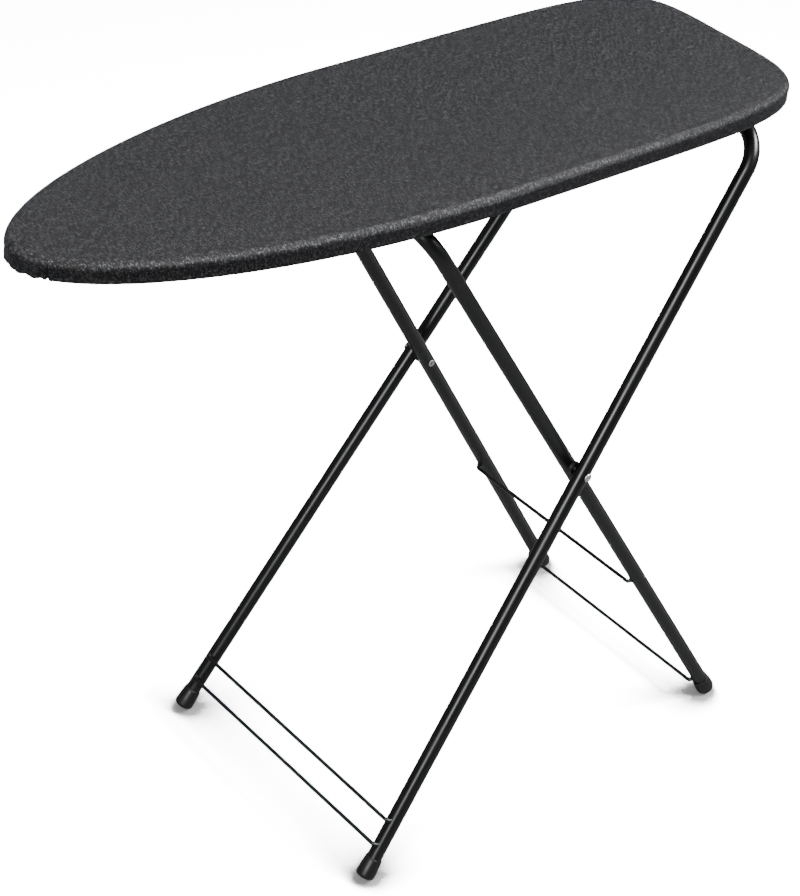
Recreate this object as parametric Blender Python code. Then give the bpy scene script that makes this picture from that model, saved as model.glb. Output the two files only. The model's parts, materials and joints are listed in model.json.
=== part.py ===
"""Folding ironing board on two crossing U-shaped tube frames.

Metres, +Z up, nose of the board towards -X. The origin is on the floor under
the middle of the whole object. The board carries its steel top, its cover, two
slotted guide rails and two pivot brackets. The outer frame turns in the
brackets near the tail. The inner frame turns on two rivets through the outer
frame, and its top bar slides in the guide rails.
"""

import math

import bmesh
import bpy
import numpy as np
from mathutils import Matrix, Vector

# ---------------------------------------------------------------- board plan
HEIGHT = 0.900                # floor to the ironing surface
BOARD_LENGTH = 0.9900
BOARD_WIDTH = 0.3298
NOSE_X = -0.5011              # tip of the nose
NOSE_LENGTH = 0.508           # tip of the nose to the widest place
NOSE_POWERS = (1.90, 1.88)    # superellipse powers along and across the nose
TAIL_POWERS = (7.0, 4.6)      # the same for the blunt tail
OUTLINE_POINTS = 72

# ------------------------------------------------------------- board section
EDGE_DEPTH = 0.024            # cover top to the underside of the hem
EDGE_ROUND = 0.008            # round of the cover's upper edge
COVER_WALL = 0.0015
HEM_WIDTH = 0.018             # how far the cover turns in under the rim
ELASTIC_RADIUS = 0.0015
PAD_THICKNESS = 0.006
TOP_THICKNESS = 0.0012        # pressed steel top
TOP_INSET = 0.0035
RIM_THICKNESS = 0.0015
VENT_RADIUS = 0.009
VENT_PITCH = 0.070
VENT_MARGIN = 0.034           # vent centres stay this far inside the edge
GAP = 0.0003                  # between pieces that touch
SHEET = 0.0015                # wall of the pressed steel channels and brackets

# -------------------------------------------------------------- cross rails
CHANNEL_WIDTH = 0.026
CHANNEL_DROP = 0.0015         # how far a cross rail reaches below the hem
CHANNEL_END = 0.026           # clear distance from the board's edge
NOSE_RAIL_X = -0.272

# -------------------------------------------------------------------- frames
TUBE_RADIUS = 0.0095
TUBE_WALL = 0.0012
TUBE_RESOLUTION = 6
BAR_DROP = 0.063              # ironing surface to the axes of both top bars
OUTER_FOOT_X = -0.1148
FOOT_SPAN = 0.6077            # outer foot to inner foot along X
LEG_REACH = 0.548             # foot to top bar along X, the same on both frames
OUTER_FOOT_HALF = 0.1877      # half spread of the legs at the floor
OUTER_TOP_HALF = 0.1310
INNER_FOOT_HALF = 0.1641
INNER_TOP_HALF = 0.1040
OUTER_BEND = 0.048
INNER_BEND = 0.052
BEND_STEPS = 7

# ----------------------------------------------------------------- foot caps
CAP_LENGTH = 0.027
CAP_FLOOR = 0.006             # material under the end of the tube
CAP_WALL = 0.0011             # at the mouth
CAP_FLARE = 0.0012            # how much wider the cap is at the floor than at its mouth
CAP_ROUND = 0.005
CAP_CLEARANCE = 0.0002

# --------------------------------------------------------------- wire braces
WIRE_RADIUS = 0.0026
WIRE_STAND_OFF = 0.0042       # tube surface to wire axis
OUTER_WIRE_HEIGHTS = (0.069, 0.041)
INNER_WIRE_HEIGHTS = (0.251, 0.037)

# -------------------------------------------------------------- scissor pivot
RIVET_RADIUS = 0.0030
RIVET_HEAD_RADIUS = 0.0054
RIVET_HEAD_HEIGHT = 0.0026
RIVET_ROLL_RADIUS = 0.0046
RIVET_ROLL_HEIGHT = 0.0018
RIVET_BORE = 0.0020
RIVET_CLEARANCE = 0.0003
SPACER_RADIUS = 0.0085
SPACER_CLEARANCE = 0.0005
HEAD_CLEARANCE = 0.0006       # the legs lean, so the head stands off a little

# --------------------------------------------------------- brackets and rails
BRACKET_Y = 0.046
BRACKET_HALF_WIDTH = 0.017
BRACKET_SHEET = 0.0025
FLANGE_WIDTH = 0.016
BUSH_WALL = 0.0022
BUSH_CLEARANCE = 0.0004
BUSH_FLANGE = 0.0030
RAIL_Y = 0.030
RAIL_SHEET = 0.002
RAIL_STRIP = 0.010            # steel left below the slot
RAIL_END = 0.010              # steel left beyond the closed end of the slot
RAIL_NOSE_X = -0.290          # open end of the rails, where the folding bar leaves them
GLIDE_WALL = 0.0020
GLIDE_FLANGE = 0.0030
GLIDE_CLEARANCE = 0.0004
SLOT_CLEARANCE = 0.0005
NOTCH_COUNT = 5
NOTCH_PITCH = 0.042
NOTCH_DEPTH = 0.006
FIXING_RADIUS = 0.0022
FIXING_HEAD = 0.0045
ROUND_SEGMENTS = 24
SMALL_SEGMENTS = 16

# -------------------------------------------------- places worked out from them
HALF_WIDTH = BOARD_WIDTH / 2
WIDEST_X = NOSE_X + NOSE_LENGTH
TAIL_LENGTH = BOARD_LENGTH - NOSE_LENGTH
HEM_Z = HEIGHT - EDGE_DEPTH
PAD_TOP = HEIGHT - COVER_WALL - GAP
TOP_TOP = PAD_TOP - PAD_THICKNESS - GAP
TOP_BOTTOM = TOP_TOP - TOP_THICKNESS
CHANNEL_TOP = TOP_BOTTOM - GAP
CHANNEL_BOTTOM = HEM_Z - CHANNEL_DROP
FLANGE_TOP = CHANNEL_BOTTOM - GAP
BAR_Z = HEIGHT - BAR_DROP
CAP_MOUTH_RADIUS = TUBE_RADIUS + CAP_CLEARANCE + CAP_WALL
CAP_BOTTOM_RADIUS = CAP_MOUTH_RADIUS + CAP_FLARE


def foot_point_height(lean):
    """Height of the middle of a cap's end when its round edge touches the floor."""
    flat = CAP_BOTTOM_RADIUS - CAP_ROUND
    return CAP_ROUND + flat * math.sin(lean) - CAP_ROUND * math.cos(lean)


LEG_LEAN = math.atan2(LEG_REACH, BAR_Z)
FOOT_Z = foot_point_height(LEG_LEAN)
LEG_RISE = BAR_Z - FOOT_Z
INNER_FOOT_X = OUTER_FOOT_X + FOOT_SPAN
OUTER_TOP_X = OUTER_FOOT_X + LEG_REACH
INNER_TOP_X = INNER_FOOT_X - LEG_REACH
CROSS_SHARE = FOOT_SPAN / (2 * LEG_REACH)
CROSS_X = OUTER_FOOT_X + LEG_REACH * CROSS_SHARE
CROSS_Z = FOOT_Z + LEG_RISE * CROSS_SHARE
OUTER_CROSS_HALF = OUTER_FOOT_HALF + (OUTER_TOP_HALF - OUTER_FOOT_HALF) * CROSS_SHARE
INNER_CROSS_HALF = INNER_FOOT_HALF + (INNER_TOP_HALF - INNER_FOOT_HALF) * CROSS_SHARE
GLIDE_RADIUS = TUBE_RADIUS + GLIDE_CLEARANCE + GLIDE_WALL
SLOT_HALF = GLIDE_RADIUS + SLOT_CLEARANCE
RAIL_BOTTOM = BAR_Z - SLOT_HALF - RAIL_STRIP
RAIL_TAIL_X = INNER_TOP_X + SLOT_HALF + RAIL_END
BUSH_RADIUS = TUBE_RADIUS + BUSH_CLEARANCE + BUSH_WALL
OUTER_HINGE = Vector((OUTER_TOP_X, 0, BAR_Z))
SCISSOR_PIVOT = Vector((CROSS_X, 0, CROSS_Z))


# -------------------------------------------------------------------- helpers
def clear_scene():
    """Remove every object of the scene."""
    for item in list(bpy.data.objects):
        bpy.data.objects.remove(item, do_unlink=True)


def make_material(name, colour, roughness, metallic=0.0):
    """A Principled material with one colour."""
    result = bpy.data.materials.new(name)
    result.use_nodes = True
    shader = result.node_tree.nodes["Principled BSDF"]
    shader.inputs["Base Color"].default_value = (*colour, 1.0)
    shader.inputs["Roughness"].default_value = roughness
    shader.inputs["Metallic"].default_value = metallic
    result.diffuse_color = (*colour, 1.0)
    return result


def make_joint(name, place, parent=None):
    """An empty on a joint's axis, which carries the pieces of a moving body."""
    empty = bpy.data.objects.new(name, None)
    bpy.context.scene.collection.objects.link(empty)
    empty.parent = parent
    origin = Vector((0, 0, 0)) if parent is None else Vector(parent["place"])
    empty.location = Vector(place) - origin
    empty["place"] = list(place)
    return empty


def add_piece(name, mesh, finish, joint=None, place=(0, 0, 0), turn=None):
    """Put a mesh in the scene at a world place, under its joint's empty."""
    piece = bpy.data.objects.new(name, mesh)
    bpy.context.scene.collection.objects.link(piece)
    if not mesh.materials:
        mesh.materials.append(finish)
    origin = Vector((0, 0, 0)) if joint is None else Vector(joint["place"])
    piece.parent = joint
    piece.location = Vector(place) - origin
    if turn is not None:
        piece.rotation_mode = "QUATERNION"
        piece.rotation_quaternion = turn
    return piece


def finish_mesh(name, shape, smooth_angle=35):
    """Turn a bmesh into a mesh whose faces point out and whose rounds are smooth."""
    bmesh.ops.remove_doubles(shape, verts=shape.verts, dist=0.000001)
    bmesh.ops.recalc_face_normals(shape, faces=shape.faces)
    mesh = bpy.data.meshes.new(name)
    shape.to_mesh(mesh)
    shape.free()
    mesh.shade_smooth()
    mesh.set_sharp_from_angle(angle=math.radians(smooth_angle))
    return mesh


def turned_mesh(name, profile, segments):
    """Spin a profile of (radius, height) points about local Z."""
    shape = bmesh.new()
    corners = [shape.verts.new((radius, 0, height)) for radius, height in profile]
    edges = [shape.edges.new(pair) for pair in zip(corners, corners[1:])]
    if profile[0][0] > 0:
        edges.append(shape.edges.new((corners[-1], corners[0])))
    bmesh.ops.spin(
        shape, geom=corners + edges, cent=(0, 0, 0), axis=(0, 0, 1),
        angle=math.tau, steps=segments, use_merge=True,
    )
    return finish_mesh(name, shape)


def prism_mesh(name, outline, across, start, end):
    """Extrude an outline. across is "x" for (y, z) outlines and "y" for (x, z) ones."""
    shape = bmesh.new()
    if across == "x":
        corners = [shape.verts.new((start, y, z)) for y, z in outline]
        travel = Vector((end - start, 0, 0))
    else:
        corners = [shape.verts.new((x, start, z)) for x, z in outline]
        travel = Vector((0, end - start, 0))
    face = shape.faces.new(corners)
    pushed = bmesh.ops.extrude_face_region(shape, geom=[face])
    moved = [item for item in pushed["geom"] if isinstance(item, bmesh.types.BMVert)]
    bmesh.ops.translate(shape, verts=moved, vec=travel)
    return finish_mesh(name, shape)


def drill_mesh(name, centres, axis, radius, reach, segments=SMALL_SEGMENTS):
    """Several round cutters along one axis, as one mesh of separate cylinders."""
    shape = bmesh.new()
    turn = Vector((0, 0, 1)).rotation_difference(Vector(axis)).to_matrix().to_4x4()
    for centre in centres:
        bmesh.ops.create_cone(
            shape, cap_ends=True, segments=segments, radius1=radius, radius2=radius,
            depth=2 * reach, matrix=Matrix.Translation(Vector(centre)) @ turn,
        )
    return finish_mesh(name, shape)


def cut(piece, cutter_mesh, operation="DIFFERENCE"):
    """Cut a piece with a hidden tool shape, or join the tool's shape to it."""
    tool = bpy.data.objects.new(cutter_mesh.name, cutter_mesh)
    bpy.context.scene.collection.objects.link(tool)
    tool.hide_render = True
    tool.display_type = "WIRE"
    step = piece.modifiers.new(cutter_mesh.name, "BOOLEAN")
    step.operation = operation
    step.solver = "EXACT"
    step.object = tool


def arc(centre, radius, start, end, steps):
    """Points of an arc in a plane, both ends included."""
    angles = np.linspace(start, end, steps + 1)
    return [(centre[0] + radius * math.cos(a), centre[1] + radius * math.sin(a)) for a in angles]


# -------------------------------------------------------------- board outline
def half_outline():
    """Dense points of the +Y half of the plan, nose tip to tail."""
    turn = np.linspace(0, math.pi / 2, 600)
    along, across = NOSE_POWERS
    nose_x = WIDEST_X - NOSE_LENGTH * np.cos(turn) ** (2 / along)
    nose_y = HALF_WIDTH * np.sin(turn) ** (2 / across)
    along, across = TAIL_POWERS
    tail_x = WIDEST_X + TAIL_LENGTH * np.cos(turn[::-1]) ** (2 / along)
    tail_y = HALF_WIDTH * np.sin(turn[::-1]) ** (2 / across)
    nose = np.stack([nose_x, nose_y], axis=1)
    tail = np.stack([tail_x, tail_y], axis=1)
    return np.concatenate([nose, tail[1:]])


def outline(inset):
    """The closed plan, evenly spaced and moved inwards by inset."""
    upper = half_outline()
    lower = upper * (1, -1)
    loop = np.concatenate([lower[:-1], upper[:0:-1]])
    closed = np.concatenate([loop, loop[:1]])
    run = np.concatenate([[0], np.cumsum(np.linalg.norm(np.diff(closed, axis=0), axis=1))])
    marks = np.linspace(0, run[-1], OUTLINE_POINTS, endpoint=False)
    even = np.stack([np.interp(marks, run, closed[:, k]) for k in (0, 1)], axis=1)
    tangent = np.roll(even, -1, axis=0) - np.roll(even, 1, axis=0)
    tangent /= np.linalg.norm(tangent, axis=1)[:, None]
    inward = np.stack([-tangent[:, 1], tangent[:, 0]], axis=1)
    return even + inward * inset


def half_width_at(x, inset):
    """Half width of the moved-in plan at one station."""
    points = outline(inset)
    upper = points[points[:, 1] > 0]
    upper = upper[np.argsort(upper[:, 0])]
    return float(np.interp(x, upper[:, 0], upper[:, 1], left=0, right=0))


def layer_mesh(name, rings, closed=False):
    """Skin over rings of (inset, z). An open stack gets a cap at both ends."""
    shape = bmesh.new()
    loops = []
    for inset, z in rings:
        loops.append([shape.verts.new((x, y, z)) for x, y in outline(inset)])
    pairs = list(zip(loops, loops[1:]))
    if closed:
        pairs.append((loops[-1], loops[0]))
    for low, high in pairs:
        for k in range(OUTLINE_POINTS):
            follow = (k + 1) % OUTLINE_POINTS
            shape.faces.new((low[k], low[follow], high[follow], high[k]))
    if not closed:
        shape.faces.new(loops[0])
        shape.faces.new(loops[-1])
    return finish_mesh(name, shape)


# ----------------------------------------------------------------- board body
def build_cover(finish):
    """Fabric skin: flat top, rounded edge, side, and hem turned in underneath."""
    corner = arc((EDGE_ROUND, HEIGHT - EDGE_ROUND), EDGE_ROUND, math.pi / 2, math.pi, 3)
    inner_round = EDGE_ROUND - COVER_WALL
    inner = arc((EDGE_ROUND, HEIGHT - EDGE_ROUND), inner_round, math.pi, math.pi / 2, 3)
    rings = list(corner)
    rings.append((0, HEM_Z))
    rings.append((HEM_WIDTH, HEM_Z))
    rings.append((HEM_WIDTH, HEM_Z + COVER_WALL))
    rings.append((COVER_WALL, HEM_Z + COVER_WALL))
    rings.extend(inner)
    return add_piece("cover", layer_mesh("cover", rings), finish)


def build_pad(finish):
    """Felt pad between the steel top and the cover, with an edge that follows the cover's."""
    low = PAD_TOP - PAD_THICKNESS
    middle = HEIGHT - EDGE_ROUND
    radius = EDGE_ROUND - COVER_WALL - GAP
    start = math.asin(min(max((low - middle) / radius, 0), 1))
    rings = [] if low > middle else [(EDGE_ROUND - radius, low)]
    for across, up in arc((0, 0), radius, math.pi - start, math.pi / 2, 3):
        rings.append((EDGE_ROUND + across, middle + up))
    return add_piece("felt_pad", layer_mesh("felt_pad", rings), finish)


def vent_centres():
    """Grid of vent holes that stays inside the board's edge."""
    centres = []
    columns = int(BOARD_LENGTH / VENT_PITCH)
    rows = int(HALF_WIDTH / VENT_PITCH)
    for column in range(1, columns):
        x = NOSE_X + column * VENT_PITCH
        for row in range(-rows, rows + 1):
            y = row * VENT_PITCH
            if abs(y) < half_width_at(x, VENT_MARGIN):
                centres.append((x, y, TOP_BOTTOM))
    return centres


def build_steel_top(finish):
    """Pressed steel top with its steam vents."""
    rings = [(TOP_INSET, TOP_BOTTOM), (TOP_INSET, TOP_TOP)]
    top = add_piece("steel_top", layer_mesh("steel_top", rings), finish)
    reach = 4 * TOP_THICKNESS
    cut(top, drill_mesh("vent_cutter", vent_centres(), (0, 0, 1), VENT_RADIUS, reach, 8))
    return top


def build_rim(finish):
    """Strip on edge all round under the steel top."""
    low = HEM_Z + COVER_WALL + GAP
    inside = TOP_INSET + RIM_THICKNESS
    rings = [(TOP_INSET, low), (TOP_INSET, CHANNEL_TOP), (inside, CHANNEL_TOP), (inside, low)]
    return add_piece("rim_band", layer_mesh("rim_band", rings, closed=True), finish)


def build_elastic(finish):
    """Elastic cord that draws the hem in, one closed loop along the hem's edge."""
    curve = bpy.data.curves.new("hem_elastic", "CURVE")
    curve.dimensions = "3D"
    curve.bevel_depth = ELASTIC_RADIUS
    curve.bevel_resolution = 2
    points = outline(HEM_WIDTH + GAP + ELASTIC_RADIUS)
    height = HEM_Z + COVER_WALL / 2
    spline = curve.splines.new("POLY")
    spline.points.add(len(points) - 1)
    for point, (x, y) in zip(spline.points, points):
        point.co = (x, y, height, 1)
    spline.use_cyclic_u = True
    curve.materials.append(finish)
    elastic = bpy.data.objects.new("hem_elastic", curve)
    bpy.context.scene.collection.objects.link(elastic)
    return elastic


def build_cross_rail(name, x, fixings, finish):
    """Steel channel across the underside, open towards the steel top."""
    half = CHANNEL_WIDTH / 2
    section = [
        (x - half, CHANNEL_TOP), (x - half, CHANNEL_BOTTOM),
        (x + half, CHANNEL_BOTTOM), (x + half, CHANNEL_TOP),
        (x + half - SHEET, CHANNEL_TOP), (x + half - SHEET, CHANNEL_BOTTOM + SHEET),
        (x - half + SHEET, CHANNEL_BOTTOM + SHEET), (x - half + SHEET, CHANNEL_TOP),
    ]
    reach = min(half_width_at(x - half, CHANNEL_END), half_width_at(x + half, CHANNEL_END))
    rail = add_piece(name, prism_mesh(name, section, "y", -reach, reach), finish)
    centres = [(x, y, CHANNEL_BOTTOM) for y in fixings]
    radius = FIXING_RADIUS + RIVET_CLEARANCE
    cut(rail, drill_mesh(name + "_holes", centres, (0, 0, 1), radius, 3 * SHEET))
    return rail


def slot_outline():
    """Slot, open at its nose end, with the height notches along its upper edge."""
    shoulder = math.asin((SLOT_HALF - NOTCH_DEPTH) / SLOT_HALF)
    points = arc((INNER_TOP_X, BAR_Z), SLOT_HALF, -math.pi / 2, 0, 5)
    for notch in range(NOTCH_COUNT):
        centre = (INNER_TOP_X - notch * NOTCH_PITCH, BAR_Z + NOTCH_DEPTH)
        start = 0 if notch == 0 else shoulder
        points.extend(arc(centre, SLOT_HALF, start, math.pi - shoulder, 9))
    points.append((RAIL_NOSE_X - RAIL_END, BAR_Z + SLOT_HALF))
    points.append((RAIL_NOSE_X - RAIL_END, BAR_Z - SLOT_HALF))
    return points


def build_guide_rail(name, side, fixings, finish):
    """Angle-section rail whose slot guides the inner frame's top bar."""
    plate = side * RAIL_Y
    outer = plate + side * RAIL_SHEET / 2
    inner = plate - side * RAIL_SHEET / 2
    lip = outer - side * FLANGE_WIDTH
    section = [
        (outer, FLANGE_TOP), (outer, RAIL_BOTTOM), (inner, RAIL_BOTTOM),
        (inner, FLANGE_TOP - RAIL_SHEET), (lip, FLANGE_TOP - RAIL_SHEET), (lip, FLANGE_TOP),
    ]
    mesh = prism_mesh(name, section, "x", RAIL_NOSE_X, RAIL_TAIL_X)
    rail = add_piece(name, mesh, finish)
    reach = 3 * RAIL_SHEET
    cut(rail, prism_mesh(name + "_slot", slot_outline(), "y", plate - reach, plate + reach))
    centres = [(x, fixing_y(side, RAIL_Y, RAIL_SHEET), FLANGE_TOP) for x in fixings]
    radius = FIXING_RADIUS + RIVET_CLEARANCE
    cut(rail, drill_mesh(name + "_holes", centres, (0, 0, 1), radius, reach))
    return rail


def fixing_y(side, plate_y, sheet):
    """Middle of an inward flange, where its fixing goes through."""
    return side * (plate_y + sheet / 2 - (FLANGE_WIDTH + sheet) / 2)


def build_bracket(name, side, finish):
    """Hanger with a round ear that holds the outer frame's top bar."""
    plate = side * BRACKET_Y
    outer = plate + side * BRACKET_SHEET / 2
    inner = plate - side * BRACKET_SHEET / 2
    ear = [(OUTER_TOP_X + BRACKET_HALF_WIDTH, FLANGE_TOP), (OUTER_TOP_X - BRACKET_HALF_WIDTH, FLANGE_TOP)]
    ear.extend(arc((OUTER_TOP_X, BAR_Z), BRACKET_HALF_WIDTH, math.pi, math.tau, 14))
    bracket = add_piece(name, prism_mesh(name, ear, "y", inner, outer), finish)
    lip = outer - side * FLANGE_WIDTH
    low = FLANGE_TOP - BRACKET_SHEET
    half = BRACKET_HALF_WIDTH
    flange = [
        (OUTER_TOP_X + half, FLANGE_TOP), (OUTER_TOP_X - half, FLANGE_TOP),
        (OUTER_TOP_X - half, low), (OUTER_TOP_X + half, low),
    ]
    cut(bracket, prism_mesh(name + "_flange", flange, "y", lip, outer), "UNION")
    hole = BUSH_RADIUS + GAP
    reach = 3 * BRACKET_SHEET
    centre = (OUTER_TOP_X, plate, BAR_Z)
    cut(bracket, drill_mesh(name + "_bore", [centre], (0, 1, 0), hole, reach, ROUND_SEGMENTS))
    place = (OUTER_TOP_X, fixing_y(side, BRACKET_Y, BRACKET_SHEET), FLANGE_TOP)
    radius = FIXING_RADIUS + RIVET_CLEARANCE
    cut(bracket, drill_mesh(name + "_hole", [place], (0, 0, 1), radius, reach))
    return bracket


def bush_mesh():
    """Flanged plastic bush, flange at its inner end, bore round the top bar."""
    bore = TUBE_RADIUS + BUSH_CLEARANCE
    half = BRACKET_SHEET / 2 + GAP
    profile = [
        (bore, -half - SHEET), (BUSH_RADIUS + BUSH_FLANGE, -half - SHEET),
        (BUSH_RADIUS + BUSH_FLANGE, -half), (BUSH_RADIUS, -half),
        (BUSH_RADIUS, half + SHEET), (bore, half + SHEET),
    ]
    return turned_mesh("pivot_bush", profile, ROUND_SEGMENTS)


def fixing_mesh(sheet):
    """Small round-headed rivet through a flange and a cross rail, head below."""
    low = -sheet - 2 * GAP
    high = GAP + SHEET + GAP
    crown = 0.0018
    profile = [(0, low - crown), (FIXING_HEAD * 0.6, low - crown * 0.8)]
    profile.extend([(FIXING_HEAD, low - crown * 0.2), (FIXING_HEAD, low)])
    profile.extend([(FIXING_RADIUS, low), (FIXING_RADIUS, high)])
    profile.extend([(FIXING_RADIUS * 1.5, high), (FIXING_RADIUS * 1.3, high + crown / 2)])
    profile.append((0, high + crown / 2))
    return turned_mesh("fixing", profile, SMALL_SEGMENTS // 2)


def build_board(finishes):
    """Every piece of the board, which is the part's fixed body."""
    build_cover(finishes["fabric"])
    build_pad(finishes["felt"])
    build_steel_top(finishes["steel"])
    build_rim(finishes["steel"])
    build_elastic(finishes["elastic"])
    rail_fix = [fixing_y(side, RAIL_Y, RAIL_SHEET) for side in (-1, 1)]
    bracket_fix = [fixing_y(side, BRACKET_Y, BRACKET_SHEET) for side in (-1, 1)]
    build_cross_rail("cross_rail_nose", NOSE_RAIL_X, rail_fix, finishes["steel"])
    build_cross_rail("cross_rail_middle", INNER_TOP_X, rail_fix, finishes["steel"])
    build_cross_rail("cross_rail_tail", OUTER_TOP_X, bracket_fix, finishes["steel"])
    bush = bush_mesh()
    rail_rivet = fixing_mesh(RAIL_SHEET)
    bracket_rivet = fixing_mesh(BRACKET_SHEET)
    for side, word in ((1, "left"), (-1, "right")):
        build_guide_rail("guide_rail_" + word, side, (NOSE_RAIL_X, INNER_TOP_X), finishes["zinc"])
        build_bracket("pivot_bracket_" + word, side, finishes["zinc"])
        turn = Vector((0, 0, 1)).rotation_difference(Vector((0, side, 0)))
        place = (OUTER_TOP_X, side * BRACKET_Y, BAR_Z)
        add_piece("pivot_bush_" + word, bush, finishes["plastic"], None, place, turn)
        y = fixing_y(side, RAIL_Y, RAIL_SHEET)
        for x, station in ((NOSE_RAIL_X, "nose"), (INNER_TOP_X, "middle")):
            name = "rail_rivet_" + station + "_" + word
            add_piece(name, rail_rivet, finishes["zinc"], None, (x, y, FLANGE_TOP))
        y = fixing_y(side, BRACKET_Y, BRACKET_SHEET)
        name = "bracket_rivet_" + word
        add_piece(name, bracket_rivet, finishes["zinc"], None, (OUTER_TOP_X, y, FLANGE_TOP))


# --------------------------------------------------------------------- frames
class Frame:
    """One U-shaped frame: where its legs stand, lean and bend."""

    def __init__(self, name, foot_x, top_x, foot_half, top_half, bend):
        self.name = name
        self.foot = Vector((foot_x, foot_half, FOOT_Z))
        self.top = Vector((top_x, top_half, BAR_Z))
        self.bend = bend

    def leg_point(self, height, side):
        """Point on a leg's axis at a height."""
        share = (height - self.foot.z) / (self.top.z - self.foot.z)
        point = self.foot.lerp(self.top, share)
        return Vector((point.x, side * point.y, point.z))

    def up_leg(self, side):
        """Direction up a leg."""
        rise = self.top - self.foot
        return Vector((rise.x, side * rise.y, rise.z)).normalized()

    def nose_side(self):
        """Direction square to the legs and to the top bar, on their nose side."""
        rise = self.top - self.foot
        flat = Vector((-rise.z, 0, rise.x)).normalized()
        return flat if flat.x < 0 else -flat

    def corner(self, side):
        """Points of one bend, from the leg to the top bar."""
        peak = Vector((self.top.x, side * self.top.y, self.top.z))
        along = Vector((0, -side, 0))
        down = -self.up_leg(side)
        turn = math.pi - down.angle(along)
        reach = self.bend * math.tan(turn / 2)
        start = peak + down * reach
        inward = (along - down * along.dot(down)).normalized()
        points = []
        for k in range(BEND_STEPS + 1):
            angle = turn * k / BEND_STEPS
            advance = -down * self.bend * math.sin(angle)
            points.append(start + advance + inward * self.bend * (1 - math.cos(angle)))
        return points

    def path(self):
        """Axis of the whole tube, from one foot over the top bar to the other."""
        inset = CAP_FLOOR + CAP_CLEARANCE
        ends = []
        for side in (1, -1):
            low = self.leg_point(FOOT_Z, side) + self.up_leg(side) * inset
            ends.append(low)
        points = [ends[0]]
        points.extend(self.corner(1))
        points.extend(reversed(self.corner(-1)))
        points.append(ends[1])
        return points


def curve_mesh(name, points, radius, resolution, capped):
    """Round bar or open skin along a path, as a mesh."""
    curve = bpy.data.curves.new(name, "CURVE")
    curve.dimensions = "3D"
    curve.bevel_depth = radius
    curve.bevel_resolution = resolution
    curve.use_fill_caps = capped
    spline = curve.splines.new("POLY")
    spline.points.add(len(points) - 1)
    for point, place in zip(spline.points, points):
        point.co = (*place, 1)
    holder = bpy.data.objects.new(name + "_path", curve)
    bpy.context.scene.collection.objects.link(holder)
    bpy.context.view_layer.update()
    baked = bpy.data.meshes.new_from_object(holder.evaluated_get(bpy.context.evaluated_depsgraph_get()))
    bpy.data.objects.remove(holder, do_unlink=True)
    shape = bmesh.new()
    shape.from_mesh(baked)
    return finish_mesh(name, shape)


def build_tube(frame, joint, finish):
    """Bent steel tube with a hole through each leg for its pivot rivet."""
    name = frame.name + "_tube"
    mesh = curve_mesh(name, frame.path(), TUBE_RADIUS, TUBE_RESOLUTION, False)
    tube = add_piece(name, mesh, finish, joint)
    wall = tube.modifiers.new("wall", "SOLIDIFY")
    wall.thickness = TUBE_WALL
    wall.offset = -1
    wall.use_even_offset = True
    centres = [frame.leg_point(CROSS_Z, side) for side in (1, -1)]
    radius = RIVET_RADIUS + RIVET_CLEARANCE
    cut(tube, drill_mesh(name + "_holes", centres, (0, 1, 0), radius, 1.5 * TUBE_RADIUS))
    return tube


def cap_mesh():
    """Plastic foot: rounded end, slightly flared wall, blind bore for the tube."""
    bore = TUBE_RADIUS + CAP_CLEARANCE
    flat = CAP_BOTTOM_RADIUS - CAP_ROUND
    profile = [(0, 0)]
    profile.extend(arc((flat, CAP_ROUND), CAP_ROUND, -math.pi / 2, 0, 3))
    profile.extend([(CAP_MOUTH_RADIUS, CAP_LENGTH), (bore, CAP_LENGTH), (bore, CAP_FLOOR), (0, CAP_FLOOR)])
    return turned_mesh("foot_cap", profile, ROUND_SEGMENTS)


def build_caps(frame, joint, mesh, finish):
    """One foot cap on the end of each leg."""
    for side, word in ((1, "left"), (-1, "right")):
        turn = Vector((0, 0, 1)).rotation_difference(frame.up_leg(side))
        place = frame.leg_point(FOOT_Z, side)
        add_piece(frame.name + "_foot_" + word, mesh, finish, joint, place, turn)


def build_braces(frame, joint, heights, finish):
    """Wires across the legs on their nose side, ends bent back into the tube."""
    out = frame.nose_side()
    start_gap = TUBE_RADIUS + GAP
    bend = WIRE_STAND_OFF - GAP
    for height, word in zip(heights, ("upper", "lower")):
        points = []
        for side in (1, -1):
            leg = frame.leg_point(height, side)
            centre = leg + Vector((0, -side * bend, 0)) + out * start_gap
            for k in range(5):
                angle = math.pi / 2 * k / 4
                sideways = Vector((0, side * bend * math.cos(angle), 0))
                end = centre + sideways + out * bend * math.sin(angle)
                points.append(end)
            if side == 1:
                first = list(points)
                points = []
        path = first + list(reversed(points))
        name = frame.name + "_brace_" + word
        mesh = curve_mesh(name, path, WIRE_RADIUS, 3, True)
        add_piece(name, mesh, finish, joint)


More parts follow.
